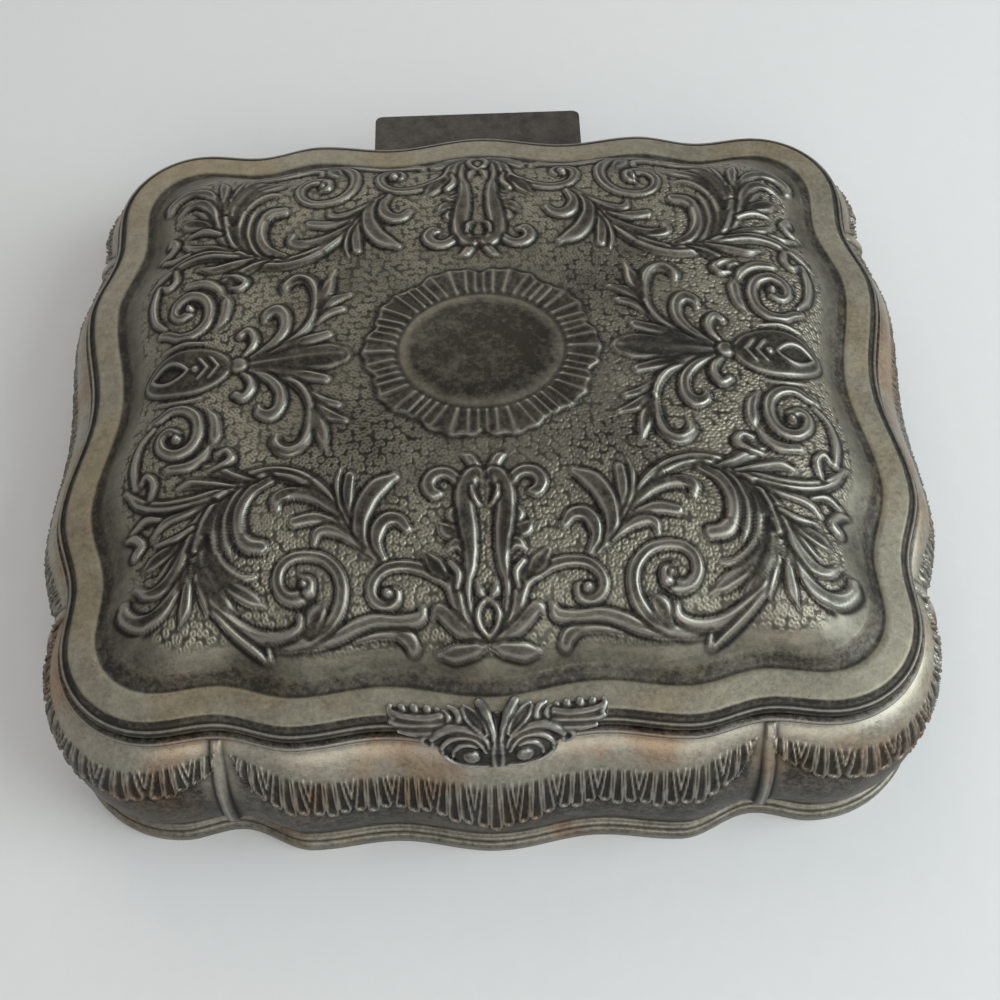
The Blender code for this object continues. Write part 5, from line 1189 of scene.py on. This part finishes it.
# The thumb ornament: a small separate casting of leaves, a forked stem and two
# volutes, bent over the front of the rim and soldered there.  Its strokes are round
# bars laid on the bend, then fused into one casting.  Points are mm to the side and
# mm down the bend; the left half mirrors the right.
BEND_MM = (
    (-5.7, 26.15), (-4.0, 25.95), (-2.5, 25.75), (-1.2, 25.45), (0.0, 24.9), (0.8, 24.3),
    (1.1, 23.6), (1.2, 22.9), (1.6, 22.2), (2.1, 21.5), (2.5, 20.8),
)
ORNAMENT_VOXEL = 0.15 * MM
BAR_SIDES = 10
BAR_STEP = 0.25 * MM
ORNAMENT_SHIFT = 0.7 * MM
ORNAMENT_WEAR_AND_SHADING = 0.03 * MM
WELD_DISTANCE = 0.01 * MM
BAR_CLOSING = (0.02, 0.6, 0.88)
BAR_SINKING = 0.55
ORNAMENT_BARS = (
    # Thickness over width, lift in mm, then points (x, down the bend, half width)
    # Web: the middle, the wing and the volute's plate
    (0.28, 0.1, (0, 3.4, 1.2), (0, 5.4, 1.7), (0, 7.4, 2.1), (0, 9.4, 2.2), (0, 10.6, 1.6)),
    (0.25, 0.1, (1.5, 5.6, 1.6), (4.5, 5.2, 2.1), (8, 4.8, 2), (11, 4.7, 1.9), (13.6, 4.5, 1.5)),
    (0.26, 0.1, (1.6, 8.6, 1.9), (4.3, 8.3, 2.4), (6.6, 8.1, 1.5)),
    (0.3, 0.1, (8.6, 6.6, 1.2), (10, 6.3, 1), (12.6, 6, 0.7)),
    # Forked stem and its club-shaped arm
    (0.85, 0.75, (0.3, 7, 0.4), (0.55, 5.6, 0.5), (1, 4, 0.66), (1.6, 2.6, 0.92),
     (2.35, 1.3, 0.85)),
    (1.0, 0.8, (0.5, 6.6, 0.36), (0.62, 8.4, 0.4), (0.5, 10.4, 0.42)),
    (0.7, 0.55, (0, 5, 0.25), (0, 7.6, 0.3), (0, 10.6, 0.3)),
    # Almond leaf with a raised outline, and the comma beside it
    (0.4, 0.6, (1.5, 5.2, 0.4), (2.8, 3.7, 1.1), (4.4, 2.2, 0.6)),
    (1.1, 1.0, (1.35, 5.4, 0.24), (1.8, 4, 0.28), (3.1, 2.5, 0.3), (4.5, 1.8, 0.26)),
    (1.1, 1.0, (1.7, 5.6, 0.24), (3, 4.7, 0.28), (4.2, 3.6, 0.3), (4.7, 2.3, 0.26)),
    (1.0, 0.75, (1.2, 7, 0.3), (1.6, 6.1, 0.36), (2.6, 5.2, 0.36), (3.7, 4.8, 0.22)),
    (0.85, 0.75, (5.5, 4.4, 0.35), (5.2, 3.5, 0.55), (5.6, 2.6, 0.62), (6.5, 2.2, 0.4)),
    (0.85, 0.65, (6.7, 4.3, 0.35), (6.6, 3.5, 0.5), (7.2, 2.9, 0.35)),
    # Wing: three long ridges under a scalloped edge
    (0.8, 0.8, (7.6, 3.6, 0.5), (9.4, 4.2, 0.62), (11.2, 4.4, 0.6), (12.8, 4.3, 0.55),
     (14.1, 3.9, 0.5)),
    (0.85, 0.75, (7.4, 4.7, 0.35), (9.4, 5, 0.5), (11.6, 5.3, 0.5), (13.4, 5.3, 0.46),
     (14.3, 5, 0.4)),
    (0.85, 0.65, (7.6, 5.6, 0.3), (9.6, 6.1, 0.45), (11.6, 6.3, 0.42), (13.3, 6.2, 0.3)),
    (0.8, 0.65, (14, 4.6, 0.5), (14.5, 3.6, 0.5), (14.4, 2.9, 0.4)),
    (0.7, 0.5, (12.7, 4, 0.55), (12.9, 3, 0.6)),
    (0.7, 0.5, (11.1, 4, 0.6), (11.2, 2.9, 0.65)),
    (0.7, 0.5, (9.4, 3.9, 0.55), (9.4, 2.8, 0.62)),
    (0.7, 0.5, (8.1, 3.6, 0.4), (8, 2.8, 0.5)),
    # Brow over the volute, its curl, the volute's two thin arcs and its boss
    (0.85, 0.8, (1.6, 6.3, 0.3), (2.6, 5.5, 0.45), (4.2, 5, 0.62), (6, 5, 0.68), (7.6, 5.6, 0.6),
     (8.9, 6.6, 0.4)),
    (0.9, 0.7, (8.3, 6.4, 0.3), (9.4, 6.3, 0.36), (10.2, 6.9, 0.38), (9.9, 7.7, 0.36),
     (9, 7.9, 0.34), (8.8, 7.3, 0.3)),
    (1.1, 0.8, (7.5, 8.9, 0.3), (7.5, 7.6, 0.34), (6.6, 6.5, 0.36), (5, 5.95, 0.38),
     (3.4, 6, 0.36), (2.2, 6.7, 0.34), (1.6, 7.8, 0.3)),
    (1.1, 0.8, (6.1, 9.3, 0.26), (5.9, 8, 0.32), (5.1, 7, 0.34), (3.9, 6.7, 0.34),
     (2.9, 6.9, 0.28)),
    (0.95, 0.6, (3.55, 8.6, 1.35), (3.7, 8.65, 1.35)),
    (0.9, 0.6, (8, 8, 0.34), (7.5, 9.4, 0.38), (6.2, 10.4, 0.42), (4.2, 10.75, 0.44),
     (2.2, 10.7, 0.42), (0.6, 10.5, 0.36)),
)


def rim_front(x):
    """How far forward the rim lies, at a distance to the side of the middle."""
    return -PLAN_HALF_DEPTH - swell(np.abs(x), 0.0)


bend = np.array(BEND_MM) * MM
bend_lengths = np.concatenate([[0], np.cumsum(np.hypot(*np.diff(bend, axis=0).T))])
bend_slopes = np.gradient(bend, bend_lengths, axis=0)


def on_bend(x, down, lift):
    """Point over the bend: the section at that distance down it, lifted along its normal."""
    down = np.clip(down, 0, bend_lengths[-1])
    offset = np.interp(down, bend_lengths, bend[:, 0])
    height = np.interp(down, bend_lengths, bend[:, 1])
    slope = [np.interp(down, bend_lengths, bend_slopes[:, k]) for k in (0, 1)]
    size = np.hypot(*slope)
    out, up = -slope[1] / size, slope[0] / size
    return np.stack([x, rim_front(x) - offset - out * lift, height + up * lift], axis=-1)


def bar_mesh(bar, side):
    """Closed bar along a curve on the bend: ellipses across it, drawn in to a round end."""
    flatness, lift, *points = bar
    curve, half = curve_through(points)
    number = np.arange(len(curve))
    keep = np.linspace(0, len(curve) - 1, max(int(len(curve) * STROKE_STEP / BAR_STEP), 4))
    curve = np.stack([np.interp(keep, number, curve[:, k]) for k in (0, 1)], axis=1)
    half = np.interp(keep, number, half)
    run = np.gradient(curve, axis=0)
    run /= np.hypot(*run.T)[:, None]
    close = np.array(BAR_CLOSING)
    past = np.sqrt(1 - close * close)[:, None]
    curve = np.concatenate([curve[:1] - run[:1] * half[0] * past, curve,
                            (curve[-1:] + run[-1:] * half[-1] * past)[::-1]])
    half = np.concatenate([half[0] * close, half, half[-1] * close[::-1]])
    run = np.concatenate([run[:1].repeat(len(close), 0), run, run[-1:].repeat(len(close), 0)])
    turn = np.linspace(0, 2 * np.pi, BAR_SIDES, endpoint=False)
    sideways = np.stack([-run[:, 1], run[:, 0]], axis=1)
    flat = curve[:, None, :] + sideways[:, None, :] * (half[:, None] * np.cos(turn))[..., None]
    rise = half[:, None] * flatness * np.sin(turn) + lift * MM * BAR_SINKING
    return on_bend(flat[..., 0] * side + ORNAMENT_SHIFT, flat[..., 1], rise)


def reshaped(mesh, weld=False):
    """Turn a mesh's faces outwards, after merging points that share a place if asked."""
    shape = bmesh.new()
    shape.from_mesh(mesh)
    if weld:
        bmesh.ops.remove_doubles(shape, verts=shape.verts[:], dist=WELD_DISTANCE)
    bmesh.ops.recalc_face_normals(shape, faces=shape.faces[:])
    shape.to_mesh(mesh)
    shape.free()


def settled(piece, kind, **settings):
    """Add one modifier to a piece and apply it at once; returns the new mesh."""
    modifier = piece.modifiers.new(kind.lower(), kind)
    for key, value in settings.items():
        setattr(modifier, key, value)
    graph = bpy.context.evaluated_depsgraph_get()
    shaped = bpy.data.meshes.new_from_object(piece.evaluated_get(graph))
    piece.modifiers.clear()
    piece.data = shaped
    return shaped


def rows_of(items, name, width=3, kind=np.float32):
    """One property of a mesh's points or edges, as rows of numbers."""
    values = np.empty(len(items) * width, dtype=kind)
    items.foreach_get(name, values)
    return values.reshape(-1, width)


def shape_masks(mesh, reach):
    """Point masks from curvature: how far each point stands over the mean of its neighbours.

    The lift is smoothed over the mesh's edges, then scaled by the reach.
    """
    points = rows_of(mesh.vertices, "co").astype(float)
    normals = rows_of(mesh.vertices, "normal").astype(float)
    a, b = rows_of(mesh.edges, "vertices", 2, np.int32).T
    count = len(points)
    degree = np.bincount(a, minlength=count) + np.bincount(b, minlength=count)

    def spread(values):
        total = np.bincount(a, weights=values[b], minlength=count)
        total += np.bincount(b, weights=values[a], minlength=count)
        return (values + total) / (degree + 1)

    smooth = np.stack([spread(spread(points[:, k])) for k in range(3)], axis=1)
    lift = spread(spread(((points - smooth) * normals).sum(axis=1)))
    add_masks(mesh, {"edge": unit(lift / reach), "hollow": unit(-lift / reach)})


bars = [bar_mesh(bar, side) for side in (1, -1) for bar in ORNAMENT_BARS]
ornament_faces, base = [], 0
for bar in bars:
    index = base + np.arange(bar[..., 0].size).reshape(bar.shape[:2])
    ornament_faces += [*grid_quads(index, True).tolist(), index[0].tolist(),
                       index[-1, ::-1].tolist()]
    base += index.size
ornament_mesh = bpy.data.meshes.new("thumb_casting")
ornament_mesh.from_pydata(np.concatenate([bar.reshape(-1, 3) for bar in bars]).tolist(), [],
                          ornament_faces)
reshaped(ornament_mesh)
thumb_casting = placed("thumb_casting", ornament_mesh)
settled(thumb_casting, "REMESH", mode="VOXEL", voxel_size=ORNAMENT_VOXEL)
ornament_mesh = settled(thumb_casting, "CORRECTIVE_SMOOTH", factor=0.5, iterations=3,
                        use_only_smooth=True, rest_source="ORCO")
ornament_mesh.shade_smooth()
# Convex points get the pale edge, rubbed wear with a painted highlight, and concave points the dark
# hollow, patina with painted shade.
shape_masks(ornament_mesh, ORNAMENT_WEAR_AND_SHADING)
coat(ornament_mesh, pewter("ornament_metal", 0.13, (0.022, 0.0205, 0.018), (0.24, 0.225, 0.19),
                           0.4, 0.3, 0.3, worn_and_shaded=True))
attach(thumb_casting, "lid")
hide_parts("thumb_ornament")


# The hinge and its stop tab: pressed sheet and turned knuckles in the same dark metal.
# The model's own shapes are right, so only their finish changes.
hinge_finish = pewter("hinge_metal_finish", 0.2, (0.028, 0.026, 0.024), (0.15, 0.14, 0.125),
                      0.6, 0.3, 0.3)
for name in ("hinge_lid_leaf", "hinge_body_leaf", "hinge_pin"):
    coat(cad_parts[name].data, hinge_finish)


# The boards: grey pasteboard cut to the plan, one pressed into the foot under the
# floor pad and one under the lid.  The model's plain solids are their shape.
# The card is dark so that its band round the lining reads as a shadow gap: partly painted shade.
BOARD_COLOUR = (0.13, 0.115, 0.095)
BOARD_FIBRES, FELT_FIBRES = 700.0, 1300.0


def fibre_group():
    """Short fibres lying every way: two noises, each drawn out along one direction."""
    tree, given, out = effect_group("fibres", {"Scale": 900.0}, ("Share", "Height"))
    strands = []
    for turn, drawn in ((0.5, (1.0, 0.16, 1.0)), (-0.9, (0.16, 1.0, 1.0))):
        turned = add_node(tree, "ShaderNodeMapping", {
            "Vector": given["Place"], "Rotation": (0.0, 0.0, turn), "Scale": drawn})
        strands.append(noise(tree, turned.outputs["Vector"], given["Scale"], 3.0, 0.6, 0.6))
    both = sums(tree, "MAXIMUM", *strands)
    plug(tree, out, {"Share": remap(tree, both, 0.45, 0.75), "Height": both})
    return tree


fibres = fibre_group()


def fibrous(name, low, high, scale, strength, distance):
    """Matt material of fibres, such as pasteboard or felt, between two colours."""
    finish, tree, shader = node_material(name)
    strands = grouped(tree, fibres, {"Scale": scale}).outputs
    plug(tree, shader, {
        "Base Color": mix_colour(tree, strands["Share"], low, high),
        "Normal": bump(tree, strands["Height"], strength, distance),
        "Roughness": 0.92, "Specular IOR Level": 0.15})
    return finish


board_finish = fibrous("pasteboard", [0.8 * c for c in BOARD_COLOUR],
                       [1.2 * c for c in BOARD_COLOUR], BOARD_FIBRES, 0.35, 0.1 * MM)
for name in ("floor_board", "lid_board"):
    coat(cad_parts[name].data, board_finish)


# The bottom plate: thin pressed sheet pushed up into the foot's rebate, as the model
# has it.
coat(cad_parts["bottom_plate"].data,
     pewter("plate_metal", 0.55, (0.08, 0.078, 0.074), (0.33, 0.32, 0.3), 0.5, 0.2, 0.3))


# The base felt: one piece of green felt cut to the rebate and glued under the plate,
# with a slightly rounded, hairy edge.
FELT_REACH = 6.1 * MM
FELT_TOP = 0.9 * MM
FELT_ROUND = 0.25 * MM
FELT_UNEVEN = 0.05 * MM
FELT_SHARES = (0.9, 0.75, 0.55, 0.3, 0.0)
FELT_DARK, FELT_LIGHT = (0.006, 0.03, 0.016), (0.02, 0.075, 0.042)

felt_section = [(reach, height, 1.0) for reach, height in (
    (FELT_REACH - FELT_ROUND, FELT_TOP), (FELT_REACH, FELT_TOP - FELT_ROUND),
    (FELT_REACH, FELT_ROUND), (FELT_REACH - FELT_ROUND, 0.0))]
felt_edge, _ = loop_grid(felt_section, INSIDE_COLUMNS)
hairy = np.random.default_rng(5).uniform(-FELT_UNEVEN, 0, (1, felt_edge.shape[1], 1))
felt_edge[..., :2] += hairy * outwards(felt_edge)
felt_over = np.stack([felt_edge[0] * [share, share, 1] for share in FELT_SHARES[::-1]])
felt_under = np.stack([felt_edge[-1] * [share, share, 1] for share in FELT_SHARES])
felt = grid_piece("felt_pad", np.concatenate([felt_over, felt_edge, felt_under]),
                  fibrous("green_felt_finish", FELT_DARK, FELT_LIGHT, FELT_FIBRES, 0.8, 0.2 * MM),
                  -1, closed=True)
reshaped(felt.data, weld=True)
felt.data.shade_smooth()
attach(felt, "base")
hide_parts("base_felt")


# The pads: dark red velvet over thin foam, drawn round a board and glued in, one on the
# floor and one under the lid.  Each is blown up by Cloth from a copy of its solid.
PAD_VOXEL = 1.5 * MM
PAD_SHRINK = 0.45 * MM
PAD_SWELL = 0.6 * MM
PAD_PRESSURE = 4.0
PAD_FRAMES = 20
VELVET_DARK = (0.028, 0.0012, 0.004)
VELVET_LIGHT = (0.13, 0.006, 0.018)
VELVET_SHEEN = (0.75, 0.12, 0.17, 1.0)
NAP_SCALE, HAIR_SCALE = 70.0, 5200.0
FLOOR_WIDENING, LID_WIDENING = 0.014, 0.034


def velvet_group():
    """Velvet's pile: patches of nap laid one way or the other, with fine hairs between."""
    tree, given, out = effect_group("velvet", {}, ("Share", "Height"))
    patches = noise(tree, given["Place"], NAP_SCALE, 3.0, distortion=1.4)
    hairs = noise(tree, given["Place"], HAIR_SCALE, 2.0)
    laid = remap(tree, patches, 0.36, 0.64, 0.15, 0.75)
    fine = remap(tree, hairs, 0.35, 0.7, -0.15, 0.25)
    plug(tree, out, {"Share": sums(tree, "ADD", laid, fine, clamp=True), "Height": hairs})
    return tree


velvet_finish, tree, shader = node_material("velvet_finish")
pile = grouped(tree, velvet_group(), {}).outputs
plug(tree, shader, {
    "Base Color": mix_colour(tree, pile["Share"], VELVET_DARK, VELVET_LIGHT),
    "Normal": bump(tree, pile["Height"], 0.6, 0.25 * MM),
    "Roughness": 0.88, "Specular IOR Level": 0.1,
    "Sheen Weight": 0.7, "Sheen Roughness": 0.35, "Sheen Tint": VELVET_SHEEN})


def stuffed(name, node_name, body, widening):
    """Pad in the space of a soft solid: remeshed, drawn in, then swollen by Cloth.

    The velvet laps over the board by the widening, a share of the pad's size.  No point
    moves further than the cap while it swells.
    """
    piece = placed(name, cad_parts[node_name].data.copy())
    reshaped(piece.data, weld=True)
    piece.data.shade_smooth()
    mesh = settled(piece, "REMESH", mode="VOXEL", voxel_size=PAD_VOXEL)
    start = rows_of(mesh.vertices, "co").astype(float)
    start = start - PAD_SHRINK * rows_of(mesh.vertices, "normal")
    start[:, :2] *= 1 + widening
    mesh.vertices.foreach_set("co", start.astype(np.float32).ravel())
    cloth = piece.modifiers.new("cloth", "CLOTH")
    cloth.settings.use_pressure = True
    cloth.settings.uniform_pressure_force = PAD_PRESSURE
    cloth.settings.effector_weights.gravity = 0
    cloth.point_cache.frame_end = PAD_FRAMES
    for number in range(1, PAD_FRAMES + 1):
        bpy.context.scene.frame_set(number)
    graph = bpy.context.evaluated_depsgraph_get()
    swollen = rows_of(piece.evaluated_get(graph).data.vertices, "co").astype(float) - start
    piece.modifiers.clear()
    bpy.context.scene.frame_set(1)
    far = np.linalg.norm(swollen, axis=1, keepdims=True)
    moved = start + swollen * np.minimum(1, PAD_SWELL / np.maximum(far, 1e-9))
    mesh.vertices.foreach_set("co", moved.astype(np.float32).ravel())
    mesh = settled(piece, "SUBSURF", levels=1, render_levels=1)
    coat(mesh, velvet_finish)
    mesh.shade_smooth()
    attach(piece, body)
    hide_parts(node_name)


stuffed("floor_cushion", "floor_pad", "base", FLOOR_WIDENING)
stuffed("lid_cushion", "lid_pad", "lid", LID_WIDENING)


# The wall lining: a strip of the same velvet over thin card, bent round inside the wall
# and glued, with a rolled top edge that puckers slightly.
LINING_OUTSIDE = -5.0 * MM
LINING_INSIDE = -6.55 * MM
LINING_BOTTOM = 3.8 * MM
LINING_TOP = 20.55 * MM
LINING_ROLL = 0.7 * MM
LINING_COLUMNS = 200
PUCKER_HEIGHT = 0.12 * MM
PUCKER_LENGTH = 4.3 * MM
PUCKER_REACH = 2.6 * MM

roll_middle = (LINING_OUTSIDE + LINING_INSIDE) / 2
roll_reach = (LINING_OUTSIDE - LINING_INSIDE) / 2
rolled = [(roll_middle + roll_reach * math.cos(turn),
           LINING_TOP - LINING_ROLL + LINING_ROLL * math.sin(turn))
          for turn in np.linspace(0, np.pi, 13)]
down = np.linspace(LINING_TOP - LINING_ROLL, LINING_BOTTOM, 24)[1:]
lining_section = [(offset, height, 0.0) for offset, height in (
    (LINING_OUTSIDE, LINING_BOTTOM), *rolled, *((LINING_INSIDE, z) for z in down),
    (LINING_OUTSIDE, LINING_BOTTOM))]
lining_grid, lining_places = loop_grid(lining_section, LINING_COLUMNS)
pucker = np.sin(lining_places * 2 * np.pi / PUCKER_LENGTH + 0.8 * np.sin(lining_places * 260))
near_top = np.exp(-unit(LINING_TOP - lining_grid[..., 2]) / PUCKER_REACH)
inner = np.array([offset < roll_middle for offset, *_ in lining_section])[:, None]
dent = PUCKER_HEIGHT * (np.minimum(pucker, 0) * near_top * inner)[..., None]
lining_grid[..., :2] -= dent * outwards(lining_grid)
lining = grid_piece("velvet_lining", lining_grid, velvet_finish, -1, closed=True)
reshaped(lining.data, weld=True)
lining.data.shade_smooth()
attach(lining, "base")
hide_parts("wall_lining")
